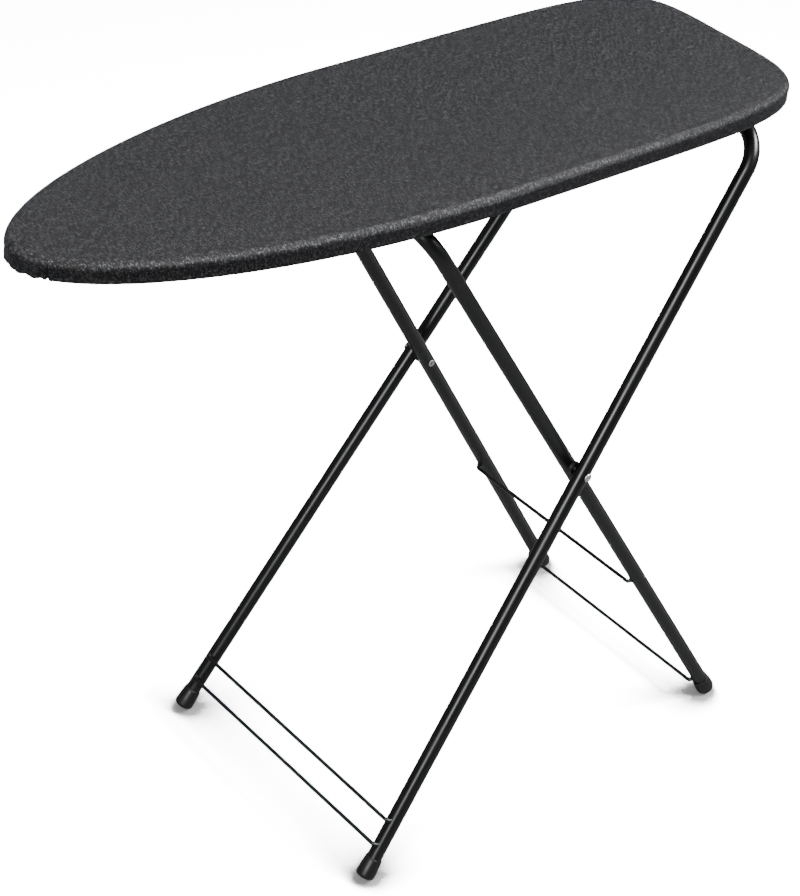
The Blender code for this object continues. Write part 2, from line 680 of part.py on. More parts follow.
def rivet_mesh():
    """Semi-tubular rivet along local Z, dimpled head at the top."""
    outer_face = OUTER_CROSS_HALF + TUBE_RADIUS + HEAD_CLEARANCE
    inner_face = INNER_CROSS_HALF - TUBE_RADIUS - HEAD_CLEARANCE
    crown = outer_face + RIVET_HEAD_HEIGHT
    rolled = inner_face - RIVET_ROLL_HEIGHT
    depth = inner_face + RIVET_ROLL_HEIGHT
    dimple = RIVET_HEAD_HEIGHT * 0.35
    profile = [
        (0, depth), (RIVET_BORE, depth), (RIVET_BORE, rolled + RIVET_ROLL_HEIGHT * 0.3),
        (RIVET_BORE * 1.3, rolled), (RIVET_ROLL_RADIUS * 0.85, rolled),
        (RIVET_ROLL_RADIUS, rolled + RIVET_ROLL_HEIGHT * 0.5),
        (RIVET_ROLL_RADIUS * 0.9, inner_face), (RIVET_RADIUS, inner_face),
        (RIVET_RADIUS, outer_face), (RIVET_HEAD_RADIUS, outer_face),
        (RIVET_HEAD_RADIUS * 0.94, outer_face + RIVET_HEAD_HEIGHT * 0.45),
        (RIVET_HEAD_RADIUS * 0.72, outer_face + RIVET_HEAD_HEIGHT * 0.85),
        (RIVET_HEAD_RADIUS * 0.45, crown), (RIVET_HEAD_RADIUS * 0.25, crown - dimple),
        (0, crown - dimple),
    ]
    return turned_mesh("pivot_rivet", profile, SMALL_SEGMENTS)


def spacer_mesh():
    """Plastic collar on the rivet between the two tubes."""
    low = INNER_CROSS_HALF + TUBE_RADIUS + SPACER_CLEARANCE
    high = OUTER_CROSS_HALF - TUBE_RADIUS - SPACER_CLEARANCE
    bore = RIVET_RADIUS + RIVET_CLEARANCE
    edge = 0.0008
    profile = [
        (bore, low), (SPACER_RADIUS - edge, low), (SPACER_RADIUS, low + edge),
        (SPACER_RADIUS, high - edge), (SPACER_RADIUS - edge, high), (bore, high),
    ]
    return turned_mesh("pivot_spacer", profile, SMALL_SEGMENTS)


def glide_mesh():
    """Plastic spool on the inner top bar that runs in a guide rail's slot."""
    bore = TUBE_RADIUS + GLIDE_CLEARANCE
    wide = GLIDE_RADIUS + GLIDE_FLANGE
    near = RAIL_SHEET / 2 + SLOT_CLEARANCE
    far = near + SHEET
    profile = [
        (bore, -far), (wide, -far), (wide, -near), (GLIDE_RADIUS, -near),
        (GLIDE_RADIUS, near), (wide, near), (wide, far), (bore, far),
    ]
    return turned_mesh("slot_glide", profile, ROUND_SEGMENTS)


def build_frames(finishes):
    """Both frames, the inner one carried by the scissor pivot on the outer one."""
    outer = Frame("outer_frame", OUTER_FOOT_X, OUTER_TOP_X, OUTER_FOOT_HALF, OUTER_TOP_HALF, OUTER_BEND)
    inner = Frame("inner_frame", INNER_FOOT_X, INNER_TOP_X, INNER_FOOT_HALF, INNER_TOP_HALF, INNER_BEND)
    outer_joint = make_joint("outer_hinge", OUTER_HINGE)
    inner_joint = make_joint("scissor_pivot", SCISSOR_PIVOT, outer_joint)
    cap = cap_mesh()
    for frame, joint, heights in (
        (outer, outer_joint, OUTER_WIRE_HEIGHTS),
        (inner, inner_joint, INNER_WIRE_HEIGHTS),
    ):
        build_tube(frame, joint, finishes["enamel"])
        build_caps(frame, joint, cap, finishes["plastic"])
        build_braces(frame, joint, heights, finishes["enamel"])
    rivet = rivet_mesh()
    spacer = spacer_mesh()
    glide = glide_mesh()
    for side, word in ((1, "left"), (-1, "right")):
        turn = Vector((0, 0, 1)).rotation_difference(Vector((0, side, 0)))
        add_piece("pivot_rivet_" + word, rivet, finishes["zinc"], outer_joint, SCISSOR_PIVOT, turn)
        add_piece("pivot_spacer_" + word, spacer, finishes["plastic"], outer_joint, SCISSOR_PIVOT, turn)
        place = (INNER_TOP_X, side * RAIL_Y, BAR_Z)
        add_piece("slot_glide_" + word, glide, finishes["plastic"], inner_joint, place, turn)


def main():
    """Build the whole ironing board."""
    clear_scene()
    finishes = {
        "fabric": make_material("cover_fabric", (0.055, 0.056, 0.062), 0.72),
        "felt": make_material("pad_felt", (0.55, 0.53, 0.48), 0.95),
        "steel": make_material("painted_steel", (0.03, 0.03, 0.032), 0.45, 0.0),
        "enamel": make_material("black_enamel", (0.012, 0.012, 0.013), 0.35, 0.0),
        "plastic": make_material("black_plastic", (0.015, 0.015, 0.016), 0.5),
        "zinc": make_material("zinc_plate", (0.62, 0.63, 0.64), 0.32, 1.0),
        "elastic": make_material("elastic_cord", (0.03, 0.03, 0.03), 0.85),
    }
    build_board(finishes)
    build_frames(finishes)


main()
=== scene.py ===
"""Looks of a folding ironing board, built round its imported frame.

The frame gives every place: the boxes of its nodes and its two joint axes.
Each sub-assembly is a class that works out its own surfaces from them, in
metres, with +Z up and the nose of the board towards -X.
"""

import json
import logging
import math
from dataclasses import dataclass, field
from enum import Enum

import bmesh
import bpy
import numpy as np
from mathutils import Matrix, Vector
from mathutils.geometry import delaunay_2d_cdt

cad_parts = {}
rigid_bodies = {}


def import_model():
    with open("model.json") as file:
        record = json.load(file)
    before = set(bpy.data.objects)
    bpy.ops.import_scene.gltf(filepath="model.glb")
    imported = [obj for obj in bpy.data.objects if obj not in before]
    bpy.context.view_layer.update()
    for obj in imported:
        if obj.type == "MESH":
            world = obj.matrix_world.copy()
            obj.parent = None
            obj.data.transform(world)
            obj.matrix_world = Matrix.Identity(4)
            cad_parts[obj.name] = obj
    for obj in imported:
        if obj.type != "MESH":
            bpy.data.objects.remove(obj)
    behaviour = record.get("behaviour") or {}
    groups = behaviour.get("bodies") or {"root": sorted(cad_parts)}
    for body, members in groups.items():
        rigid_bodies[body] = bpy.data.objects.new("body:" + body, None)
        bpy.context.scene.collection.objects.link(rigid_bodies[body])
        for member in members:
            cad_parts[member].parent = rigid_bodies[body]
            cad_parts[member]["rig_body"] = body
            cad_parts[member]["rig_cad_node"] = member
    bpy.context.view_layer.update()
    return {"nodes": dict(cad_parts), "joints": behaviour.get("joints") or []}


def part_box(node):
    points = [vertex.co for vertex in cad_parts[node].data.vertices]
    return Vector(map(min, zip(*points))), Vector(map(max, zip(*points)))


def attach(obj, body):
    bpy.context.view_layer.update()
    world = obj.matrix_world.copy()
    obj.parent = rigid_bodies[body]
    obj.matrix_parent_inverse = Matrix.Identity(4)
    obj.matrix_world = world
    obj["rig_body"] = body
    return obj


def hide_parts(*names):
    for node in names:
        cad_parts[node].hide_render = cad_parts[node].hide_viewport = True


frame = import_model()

LOG = logging.getLogger("ironing_board")
UP = np.array((0.0, 0.0, 1.0))
SIDES = (("left", 1), ("right", -1))


# ------------------------------------------------------------------- surfaces
class End(Enum):
    """How the first or last ring of a surface is closed."""

    OPEN = "open"
    CLOSED = "closed"


def unit(vectors: np.ndarray) -> np.ndarray:
    """Vectors along the last axis, each divided by its own length."""
    return vectors / np.linalg.norm(vectors, axis=-1, keepdims=True)


def grid_mesh(
    name: str,
    points: np.ndarray,
    start: End = End.CLOSED,
    end: End = End.CLOSED,
    loop: bool = False,
    outward: bool = True,
) -> bpy.types.Mesh:
    """Mesh over a grid of rings, where neighbours in a row and in a ring share a four-sided face.

    Args:
        name: Name of the mesh.
        points: Array of (rings, points in a ring, 3), or with a first axis for many such grids.
        start: How the first ring is closed, with a fan to its middle.
        end: The same for the last ring.
        loop: Whether the last ring joins the first one.
        outward: Whether the faces are turned to point out of the shape.

    Returns:
        The mesh, with doubled points merged.
    """
    many = points if points.ndim == 4 else points[None]
    copies, rows, columns = many.shape[:3]
    index = np.arange(copies * rows * columns).reshape(copies, rows, columns)
    following = np.roll(index, -1, axis=1) if loop else index[:, 1:]
    here = index if loop else index[:, :-1]
    corners = (here, np.roll(here, -1, axis=2), np.roll(following, -1, axis=2), following)
    faces = np.stack(corners, axis=-1).reshape(-1, 4).tolist()
    places = [many.reshape(-1, 3)]
    count = index.size
    for closing, row, turn in ((start, 0, -1), (end, -1, 1)):
        if loop or closing is End.OPEN:
            continue
        ring = index[:, row]
        places.append(many[:, row].mean(axis=1))
        middle = np.broadcast_to(np.arange(count, count + copies)[:, None], ring.shape)
        fan = np.stack((middle, ring, np.roll(ring, turn, axis=1)), axis=-1)
        faces.extend(fan.reshape(-1, 3).tolist())
        count += copies
    mesh = bpy.data.meshes.new(name)
    mesh.from_pydata(np.concatenate(places).tolist(), [], faces)
    return tidied(mesh, outward)


def tidied(mesh: bpy.types.Mesh, outward: bool = True) -> bpy.types.Mesh:
    """Merge doubled points and, if asked, turn the faces outwards."""
    shape = bmesh.new()
    shape.from_mesh(mesh)
    bmesh.ops.remove_doubles(shape, verts=shape.verts, dist=1e-6)
    bmesh.ops.dissolve_degenerate(shape, edges=shape.edges, dist=1e-7)
    if outward:
        bmesh.ops.recalc_face_normals(shape, faces=shape.faces)
    shape.to_mesh(mesh)
    shape.free()
    return mesh


def swept(
    path: np.ndarray, tangent: np.ndarray, normal: np.ndarray, radius: np.ndarray | float, sides: int
) -> np.ndarray:
    """Rings of a round bar: centre, plus radius times cosine along the normal and sine across it.

    Args:
        path: Centres of the rings, (rings, 3).
        tangent: Direction of the bar at each ring.
        normal: Direction square to the whole path, or one for each ring.
        radius: Radius at each ring, or one for all.
        sides: Points in a ring.

    Returns:
        Array of (rings, sides, 3).
    """
    across = np.cross(unit(tangent), normal)
    turn = np.linspace(0, math.tau, sides, endpoint=False)[None, :, None]
    spread = np.broadcast_to(np.asarray(radius, float), (len(path),))[:, None, None]
    normals = np.broadcast_to(normal, path.shape)[:, None]
    return path[:, None] + spread * (np.cos(turn) * normals + np.sin(turn) * across[:, None])


def turned(profile: np.ndarray, origin: np.ndarray, axis: np.ndarray, segments: int) -> np.ndarray:
    """Surface of revolution: each (radius, height) of the profile becomes a ring round the axis.

    Args:
        profile: Array of (points, 2), radius and height.
        origin: Place of height zero.
        axis: Direction of the heights.
        segments: Points in a ring.

    Returns:
        Array of (points, segments, 3).
    """
    along = unit(np.asarray(axis, float))
    side = unit(np.cross(along, UP if abs(along[2]) < 0.9 else np.array((1.0, 0.0, 0.0))))
    path = np.asarray(origin, float) + profile[:, 1:2] * along
    tangent = np.broadcast_to(along, path.shape)
    return swept(path, tangent, side, profile[:, 0], segments)


def filleted(points: np.ndarray, reach: float, steps: int = 5, closed: bool = False) -> np.ndarray:
    """Round each corner of an outline by the quadratic curve from one side of the corner to the other.

    Args:
        points: Corners, (n, 2).
        reach: How far along its sides a corner is rounded, at most 0.45 of a side.
        steps: Points on each rounded corner.
        closed: Whether the last point joins the first.

    Returns:
        The rounded outline.
    """
    points = np.asarray(points, float)
    before = np.roll(points, 1, axis=0)
    after = np.roll(points, -1, axis=0)
    back, ahead = before - points, after - points
    back_long = np.linalg.norm(back, axis=1, keepdims=True)
    ahead_long = np.linalg.norm(ahead, axis=1, keepdims=True)
    reach_back = np.minimum(reach, 0.45 * back_long) / np.maximum(back_long, 1e-12)
    reach_ahead = np.minimum(reach, 0.45 * ahead_long) / np.maximum(ahead_long, 1e-12)
    t = np.linspace(0, 1, steps)[None, :, None]
    first = (points + back * reach_back)[:, None]
    last = (points + ahead * reach_ahead)[:, None]
    curve = (1 - t) ** 2 * first + 2 * t * (1 - t) * points[:, None] + t**2 * last
    if closed:
        return curve.reshape(-1, 2)
    return np.concatenate((points[:1], curve[1:-1].reshape(-1, 2), points[-1:]))


def spaced(path: np.ndarray) -> np.ndarray:
    """Direction along a path at each of its points."""
    return unit(np.gradient(path, axis=0))


# ------------------------------------------------------------------ materials
class Shading:
    """A node tree being filled, with short ways to add its nodes."""

    def __init__(self, tree: bpy.types.NodeTree) -> None:
        """Keep the tree that the nodes go into."""
        self.tree = tree

    def node(self, kind: str, values: dict | None = None, **settings: object) -> bpy.types.Node:
        """Add a node.

        Args:
            kind: Blender's name of the node type.
            values: Socket name or number to a value, or to a socket that feeds it.
            settings: Attributes of the node.

        Returns:
            The node.
        """
        made = self.tree.nodes.new(kind)
        for key, value in settings.items():
            setattr(made, key, value)
        for key, value in (values or {}).items():
            self.feed(made.inputs[key], value)
        return made

    def feed(self, socket: bpy.types.NodeSocket, value: object) -> None:
        """Link a socket into another one, or set its value."""
        if isinstance(value, bpy.types.NodeSocket):
            self.tree.links.new(value, socket)
        else:
            socket.default_value = value

    def math(self, operation: str, *values: object) -> bpy.types.NodeSocket:
        """Result of a Math node on its values or sockets."""
        made = self.node("ShaderNodeMath", dict(enumerate(values)), operation=operation)
        return made.outputs[0]

    def ramp(
        self, value: object, low: float, high: float, start: float = 0.0, stop: float = 1.0
    ) -> bpy.types.NodeSocket:
        """Smooth step of a value from one range to another."""
        sockets = {"Value": value, "From Min": low, "From Max": high, "To Min": start, "To Max": stop}
        made = self.node("ShaderNodeMapRange", sockets, interpolation_type="SMOOTHSTEP")
        return made.outputs[0]

    def blend(self, share: object, first: object, second: object) -> bpy.types.NodeSocket:
        """Colour between two, by a share."""
        made = self.node("ShaderNodeMix", data_type="RGBA")
        self.feed(made.inputs[0], share)
        self.feed(made.inputs[6], first)
        self.feed(made.inputs[7], second)
        return made.outputs[2]

    def noise(
        self, vector: object, scale: float, detail: float = 3.0, roughness: float = 0.5
    ) -> bpy.types.NodeSocket:
        """Value of a noise texture, with a scale in cycles a metre."""
        sockets = {"Vector": vector, "Scale": scale, "Detail": detail, "Roughness": roughness}
        return self.node("ShaderNodeTexNoise", sockets).outputs["Fac"]

    def bump(
        self, height: object, distance: float, strength: float = 1.0, normal: object = None
    ) -> bpy.types.NodeSocket:
        """Normal of a height, with the distance in metres."""
        sockets = {"Height": height, "Distance": distance, "Strength": strength}
        if normal is not None:
            sockets["Normal"] = normal
        return self.node("ShaderNodeBump", sockets).outputs[0]

    def vector(self, operation: str, first: object, second: object) -> bpy.types.NodeSocket:
        """Result of a Vector Math node; to SCALE, the second value is the factor."""
        sockets = {0: first, "Scale" if operation == "SCALE" else 1: second}
        return self.node("ShaderNodeVectorMath", sockets, operation=operation).outputs[0]

    def facing_up(self) -> bpy.types.NodeSocket:
        """How far the surface faces up: the height of its normal."""
        normal = self.node("ShaderNodeNewGeometry").outputs["Normal"]
        return self.node("ShaderNodeSeparateXYZ", {0: normal}).outputs[2]

    def place(self, group: bpy.types.NodeTree, **values: object) -> bpy.types.Node:
        """Put a shared effect into this tree with its own values."""
        return self.node("ShaderNodeGroup", values, node_tree=group)


def colour(value: tuple[float, float, float]) -> tuple[float, float, float, float]:
    """A colour with full alpha."""
    return (*value, 1.0)


class Effect:
    """A shared effect: a shader node group with named inputs and outputs."""

    def __init__(self, name: str, inputs: dict[str, float], outputs: tuple[str, ...]) -> None:
        """Make the group's sockets.

        Args:
            name: Name of the group.
            inputs: Name of each number that goes in, beside the place, and its default.
            outputs: Name of each value that comes out.
        """
        self.group = bpy.data.node_groups.new(name, "ShaderNodeTree")
        sockets = self.group.interface
        sockets.new_socket(name="Vector", in_out="INPUT", socket_type="NodeSocketVector")
        for label, default in inputs.items():
            made = sockets.new_socket(name=label, in_out="INPUT", socket_type="NodeSocketFloat")
            made.default_value = default
        for label in outputs:
            sockets.new_socket(name=label, in_out="OUTPUT", socket_type="NodeSocketFloat")
        self.shade = Shading(self.group)
        self.source = self.group.nodes.new("NodeGroupInput").outputs
        self.result = self.group.nodes.new("NodeGroupOutput").inputs

    def put(self, label: str, socket: bpy.types.NodeSocket) -> None:
        """Link a socket to one of the group's outputs."""
        self.group.links.new(socket, self.result[label])


class Effects:
    """The effects that more than one finish uses."""

    def __init__(self) -> None:
        """Build each group once."""
        self.weave = self._weave()
        self.flecks = self._flecks()
        self.grain = self._grain()
        self.wear = self._wear()
        self.dust = self._dust()

    def _weave(self) -> bpy.types.NodeTree:
        """Plain weave: warp and weft take turns on top, and a thread is a half sine across."""
        effect = Effect("weave", {"Threads": 1000.0, "Wander": 0.2}, ("Height",))
        s, source = effect.shade, effect.source
        slow = s.node("ShaderNodeTexNoise", {"Vector": source["Vector"], "Scale": 160.0, "Detail": 2.0})
        centred = s.vector("SUBTRACT", slow.outputs["Color"], (0.5, 0.5, 0.5))
        drift = s.vector("SCALE", centred, s.math("MULTIPLY", source["Wander"], 0.004))
        count = s.vector("SCALE", s.vector("ADD", source["Vector"], drift), source["Threads"])
        axes = s.node("ShaderNodeSeparateXYZ", {0: count}).outputs
        ridges = [s.math("ABSOLUTE", s.math("SINE", s.math("MULTIPLY", axes[k], math.pi))) for k in (0, 1)]
        crossing = s.math("ADD", s.math("FLOOR", axes[0]), s.math("FLOOR", axes[1]))
        over = s.math("PINGPONG", crossing, 1.0)
        warp = s.math("MULTIPLY", ridges[0], over)
        weft = s.math("MULTIPLY", ridges[1], s.math("SUBTRACT", 1.0, over))
        effect.put("Height", s.math("ADD", warp, weft))
        return effect.group

    def _flecks(self) -> bpy.types.NodeTree:
        """Random specks: cells whose own random number passes a threshold, faded at their edges."""
        effect = Effect("flecks", {"Cells": 700.0, "Share": 0.08}, ("Mask", "Tilt"))
        s, source = effect.shade, effect.source
        cells = s.node("ShaderNodeTexVoronoi", {"Vector": source["Vector"], "Scale": source["Cells"]})
        tone = s.node("ShaderNodeSeparateColor", {0: cells.outputs["Color"]})
        chosen = s.math("GREATER_THAN", tone.outputs[0], s.math("SUBTRACT", 1.0, source["Share"]))
        effect.put("Mask", s.math("MULTIPLY", chosen, s.ramp(cells.outputs["Distance"], 0.65, 0.25)))
        effect.put("Tilt", tone.outputs[1])
        return effect.group

    def _grain(self) -> bpy.types.NodeTree:
        """Fine surface grain over a slow variation."""
        effect = Effect("grain", {"Grain": 1500.0, "Patches": 18.0}, ("Height", "Variation"))
        s, source = effect.shade, effect.source
        effect.put("Height", s.noise(source["Vector"], source["Grain"], 4.0, 0.6))
        effect.put("Variation", s.noise(source["Vector"], source["Patches"], 4.0, 0.55))
        return effect.group

    def _wear(self) -> bpy.types.NodeTree:
        """Worn edges: how far the surface is a convex edge, broken up by noise."""
        effect = Effect("edge_wear", {"Amount": 0.5, "Scale": 120.0}, ("Mask",))
        s, source = effect.shade, effect.source
        edge = s.ramp(s.node("ShaderNodeNewGeometry").outputs["Pointiness"], 0.53, 0.62)
        broken = s.ramp(s.noise(source["Vector"], source["Scale"], 6.0, 0.65), 0.42, 0.62)
        effect.put("Mask", s.math("MULTIPLY", s.math("MULTIPLY", edge, broken), source["Amount"]))
        return effect.group

    def _dust(self) -> bpy.types.NodeTree:
        """Dust where the surface faces up, in patches."""
        effect = Effect("dust", {"Amount": 0.1}, ("Mask",))
        s, source = effect.shade, effect.source
        upward = s.ramp(s.facing_up(), 0.15, 0.95)
        patch = s.ramp(s.noise(source["Vector"], 55.0, 6.0, 0.7), 0.35, 0.75)
        effect.put("Mask", s.math("MULTIPLY", s.math("MULTIPLY", upward, patch), source["Amount"]))
        return effect.group


@dataclass(frozen=True)
class Finish:
    """What every finish has: the record's slot, a colour and a roughness."""

    slot: str
    tone: tuple[float, float, float]
    roughness: float

    def start(self) -> tuple[bpy.types.Material, Shading, bpy.types.Node]:
        """New material with its shader and helper."""
        made = bpy.data.materials.new(self.slot)
        made.use_nodes = True
        shader = made.node_tree.nodes["Principled BSDF"]
        return made, Shading(made.node_tree), shader

    def build(self, effects: Effects) -> bpy.types.Material:
        """The finished material."""
        raise NotImplementedError


@dataclass(frozen=True)
class WovenCover(Finish):
    """Charcoal woven cover with fine pale flecks and a soft shine."""

    light: tuple[float, float, float] = (0.0620, 0.0632, 0.0700)
    spark: tuple[float, float, float] = (0.30, 0.305, 0.32)
    threads: float = 1150.0
    crepe: float = 430.0

    def build(self, effects: Effects) -> bpy.types.Material:
        """Weave and crepe set colour and bump, some flecks shine, and painted shade darkens the side, as if
        lit from above.
        """
        made, s, shader = self.start()
        uv = s.node("ShaderNodeUVMap", uv_map="cloth").outputs[0]
        weave = s.place(effects.weave, Vector=uv, Threads=self.threads, Wander=0.35)
        flecks = s.place(effects.flecks, Vector=uv, Cells=900.0, Share=0.12)
        slub = s.node("ShaderNodeMapping", {"Vector": uv, "Scale": (1.0, 0.45, 1.0)}).outputs[0]
        crepe = s.noise(slub, self.crepe, 1.0, 0.5)
        slow = s.noise(uv, 9.0, 3.0, 0.5)
        mottled = s.ramp(crepe, 0.46, 0.74)
        woven = weave.outputs["Height"]
        threaded = s.math("MULTIPLY", mottled, s.ramp(woven, 0.1, 0.9, 0.55, 1.0))
        body = s.blend(threaded, colour(self.tone), colour(self.light))
        aged = s.blend(s.ramp(slow, 0.35, 0.65, 0.0, 0.18), body, colour((0.0065, 0.0067, 0.0080)))
        mask = flecks.outputs["Mask"]
        # Painted shade: colour and shine fall off where the surface faces sideways, so the side strip reads
        # darker, as under light from above.
        painted_side_shade = s.ramp(s.facing_up(), 0.0, 0.75, 0.45, 1.0)
        flecked = s.blend(s.math("MULTIPLY", mask, 0.55), aged, colour(self.spark))
        s.feed(shader.inputs["Base Color"], s.blend(painted_side_shade, colour((0.001, 0.001, 0.0012)), flecked))
        s.feed(shader.inputs["Metallic"], s.math("MULTIPLY", mask, 0.7))
        s.feed(shader.inputs["Roughness"], s.ramp(mask, 0.0, 1.0, self.roughness, 0.34))
        raised = s.math("ADD", woven, s.math("MULTIPLY", crepe, 1.6))
        fine = s.bump(raised, 0.00022, 0.75)
        s.feed(shader.inputs["Normal"], s.bump(flecks.outputs["Tilt"], 0.0002, 0.65, fine))
        shader.inputs["Sheen Weight"].default_value = 0.03
        shader.inputs["Sheen Roughness"].default_value = 0.4
        shader.inputs["Sheen Tint"].default_value = colour((0.8, 0.82, 0.9))
        s.feed(shader.inputs["Specular IOR Level"], s.math("MULTIPLY", painted_side_shade, 0.34))
        return made


@dataclass(frozen=True)
class Felt(Finish):
    """Needled felt of mixed fibres."""

    def build(self, effects: Effects) -> bpy.types.Material:
        """Fibres are noise stretched along a wandering direction, with darker strands between."""
        made, s, shader = self.start()
        place = s.node("ShaderNodeTexCoord").outputs["Object"]
        grain = s.place(effects.grain, Vector=place, Grain=900.0, Patches=60.0)
        strands = {"Vector": place, "Scale": 420.0, "Detail": 5.0, "Distortion": 2.5}
        fibre = s.node("ShaderNodeTexNoise", strands).outputs["Fac"]
        shade = s.ramp(fibre, 0.35, 0.65)
        dark = colour(tuple(0.55 * value for value in self.tone))
        s.feed(shader.inputs["Base Color"], s.blend(shade, dark, colour(self.tone)))
        height = s.math("ADD", grain.outputs["Height"], fibre)
        s.feed(shader.inputs["Normal"], s.bump(height, 0.0006))
        rough = s.ramp(grain.outputs["Variation"], 0.3, 0.7, self.roughness - 0.05, 1.0)
        s.feed(shader.inputs["Roughness"], rough)
        shader.inputs["Sheen Weight"].default_value = 0.3
        return made


@dataclass(frozen=True)
class Coating(Finish):
    """Paint, powder coat or moulded plastic: grain, slow variation, worn edges and dust."""

    grain: float = 1400.0
    relief: float = 0.00003
    patches: float = 22.0
    worn: tuple[float, float, float] = (0.16, 0.16, 0.17)
    wear: float = 0.35
    dust: float = 0.05

    def build(self, effects: Effects) -> bpy.types.Material:
        """Grain gives the bump, variation the roughness, wear and dust the paler places."""
        made, s, shader = self.start()
        place = s.node("ShaderNodeTexCoord").outputs["Object"]
        grain = s.place(effects.grain, Vector=place, Grain=self.grain, Patches=self.patches)
        wear = s.place(effects.wear, Vector=place, Amount=self.wear, Scale=150.0).outputs[0]
        dust = s.place(effects.dust, Vector=place, Amount=self.dust).outputs[0]
        vary = grain.outputs["Variation"]
        deep = colour(tuple(0.75 * value for value in self.tone))
        body = s.blend(s.ramp(vary, 0.3, 0.7), deep, colour(self.tone))
        rubbed = s.blend(wear, body, colour(self.worn))
        s.feed(shader.inputs["Base Color"], s.blend(dust, rubbed, colour((0.32, 0.31, 0.29))))
        rough = s.ramp(vary, 0.25, 0.75, self.roughness - 0.04, self.roughness + 0.05)
        dulled = s.math("MULTIPLY", s.math("ADD", wear, dust), 0.4)
        s.feed(shader.inputs["Roughness"], s.math("ADD", rough, dulled))
        s.feed(shader.inputs["Normal"], s.bump(grain.outputs["Height"], self.relief))
        return made


@dataclass(frozen=True)
class ZincPlate(Finish):
    """Bright zinc plate over pressed steel, with faint rolling lines."""

    def build(self, effects: Effects) -> bpy.types.Material:
        """Rolling lines stretch the grain along the board; pale and dull patches lie over them."""
        made, s, shader = self.start()
        place = s.node("ShaderNodeTexCoord").outputs["Object"]
        drawn = s.node("ShaderNodeMapping", {"Vector": place, "Scale": (0.05, 1.0, 1.0)}).outputs[0]
        lines = s.noise(drawn, 1800.0, 3.0, 0.6)
        grain = s.place(effects.grain, Vector=place, Grain=900.0, Patches=70.0)
        wear = s.place(effects.wear, Vector=place, Amount=0.4, Scale=200.0).outputs[0]
        vary = grain.outputs["Variation"]
        dull = colour(tuple(0.72 * value for value in self.tone))
        plated = s.blend(s.ramp(vary, 0.35, 0.65), dull, colour(self.tone))
        s.feed(shader.inputs["Base Color"], s.blend(wear, plated, colour((0.82, 0.82, 0.8))))
        shader.inputs["Metallic"].default_value = 1.0
        streaks = s.math("ADD", vary, lines)
        rough = s.ramp(streaks, 0.6, 1.4, self.roughness - 0.06, self.roughness + 0.16)
        s.feed(shader.inputs["Roughness"], rough)
        s.feed(shader.inputs["Normal"], s.bump(s.math("ADD", lines, grain.outputs["Height"]), 0.00003))
        return made


@dataclass(frozen=True)
class Braid(Finish):
    """Braided elastic and sewing thread: two sets of strands that cross at a slant."""

    strands: float = 900.0

    def build(self, effects: Effects) -> bpy.types.Material:
        """The strands follow the piece's own axes, turned by an eighth so that they cross at a slant."""
        made, s, shader = self.start()
        place = s.node("ShaderNodeTexCoord").outputs["Object"]
        slant = s.node("ShaderNodeMapping", {"Vector": place, "Rotation": (0.3, 0.2, math.pi / 4)}).outputs[0]
        weave = s.place(effects.weave, Vector=slant, Threads=self.strands, Wander=0.1)
        height = weave.outputs["Height"]
        dark = colour(tuple(0.4 * value for value in self.tone))
        s.feed(shader.inputs["Base Color"], s.blend(height, dark, colour(self.tone)))
        s.feed(shader.inputs["Roughness"], s.ramp(height, 0.0, 1.0, 0.95, self.roughness))
        s.feed(shader.inputs["Normal"], s.bump(height, 0.0003))
        shader.inputs["Sheen Weight"].default_value = 0.2
        return made


class Palette:
    """Every material of the object, built once from its finish."""

    def __init__(self) -> None:
        """Make the shared effects and the materials."""
        effects = Effects()
        self.finishes: dict[str, Finish] = {
            "cover": WovenCover("cover_fabric", (0.0012, 0.00125, 0.0016), 0.37),
            "felt": Felt("pad_felt", (0.55, 0.53, 0.48), 0.95),
            "paint": Coating("painted_steel", (0.022, 0.022, 0.024), 0.42, grain=700.0, relief=0.00004),
            "enamel": Coating(
                "black_enamel", (0.0018, 0.0018, 0.0020), 0.30, relief=0.00001, wear=0.12, dust=0.015
            ),
            "plastic": Coating(
                "black_plastic", (0.0035, 0.0035, 0.0038), 0.40,
                grain=2600.0, relief=0.00003, wear=0.12, dust=0.015, worn=(0.05, 0.05, 0.052),
            ),
            "zinc": ZincPlate("zinc_plate", (0.66, 0.67, 0.68), 0.3),
            "elastic": Braid("elastic_cord", (0.05, 0.05, 0.052), 0.8),
            "thread": Braid("elastic_cord", (0.035, 0.035, 0.038), 0.7, strands=2200.0),
        }
        self.materials = {key: finish.build(effects) for key, finish in self.finishes.items()}

    def dress(self, piece: bpy.types.Object, key: str) -> None:
        """Give a piece a material, in place of any it had."""
        piece.data.materials.clear()
        piece.data.materials.append(self.materials[key])


@dataclass
class Workshop:
    """Puts finished pieces into the scene: material, body, smooth shading and what they replace."""

    palette: Palette

    def add(
        self,
        mesh: bpy.types.Mesh,
        finish: str,
        body: str,
        replaces: tuple[str, ...] = (),
        sharp: float = 38.0,
    ) -> bpy.types.Object:
        """Add one piece.

        Args:
            mesh: The piece's mesh, in place.
            finish: Key of its material.
            body: CAD body that it rides on.
            replaces: CAD nodes that it stands for.
            sharp: Edges that turn by more degrees than this stay sharp.

        Returns:
            The piece.
        """
        piece = bpy.data.objects.new(mesh.name, mesh)
        bpy.context.scene.collection.objects.link(piece)
        mesh.shade_smooth()
        mesh.set_sharp_from_angle(angle=math.radians(sharp))
        self.palette.dress(piece, finish)
        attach(piece, body)
        if replaces:
            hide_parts(*replaces)
        LOG.info("%s: %d faces, rides on %s", piece.name, len(mesh.polygons), body)
        return piece


# -------------------------------------------------------------- board outline
@dataclass(frozen=True)
class Outline:
    """Evenly spaced points round the board: places, outward directions, run and curvature."""

    places: np.ndarray
    outward: np.ndarray
    run: np.ndarray
    length: float
    bend: np.ndarray

    def inset(self, depth: np.ndarray | float) -> np.ndarray:
        """The outline moved inwards."""
        return self.places - self.outward * np.asarray(depth)[..., None]


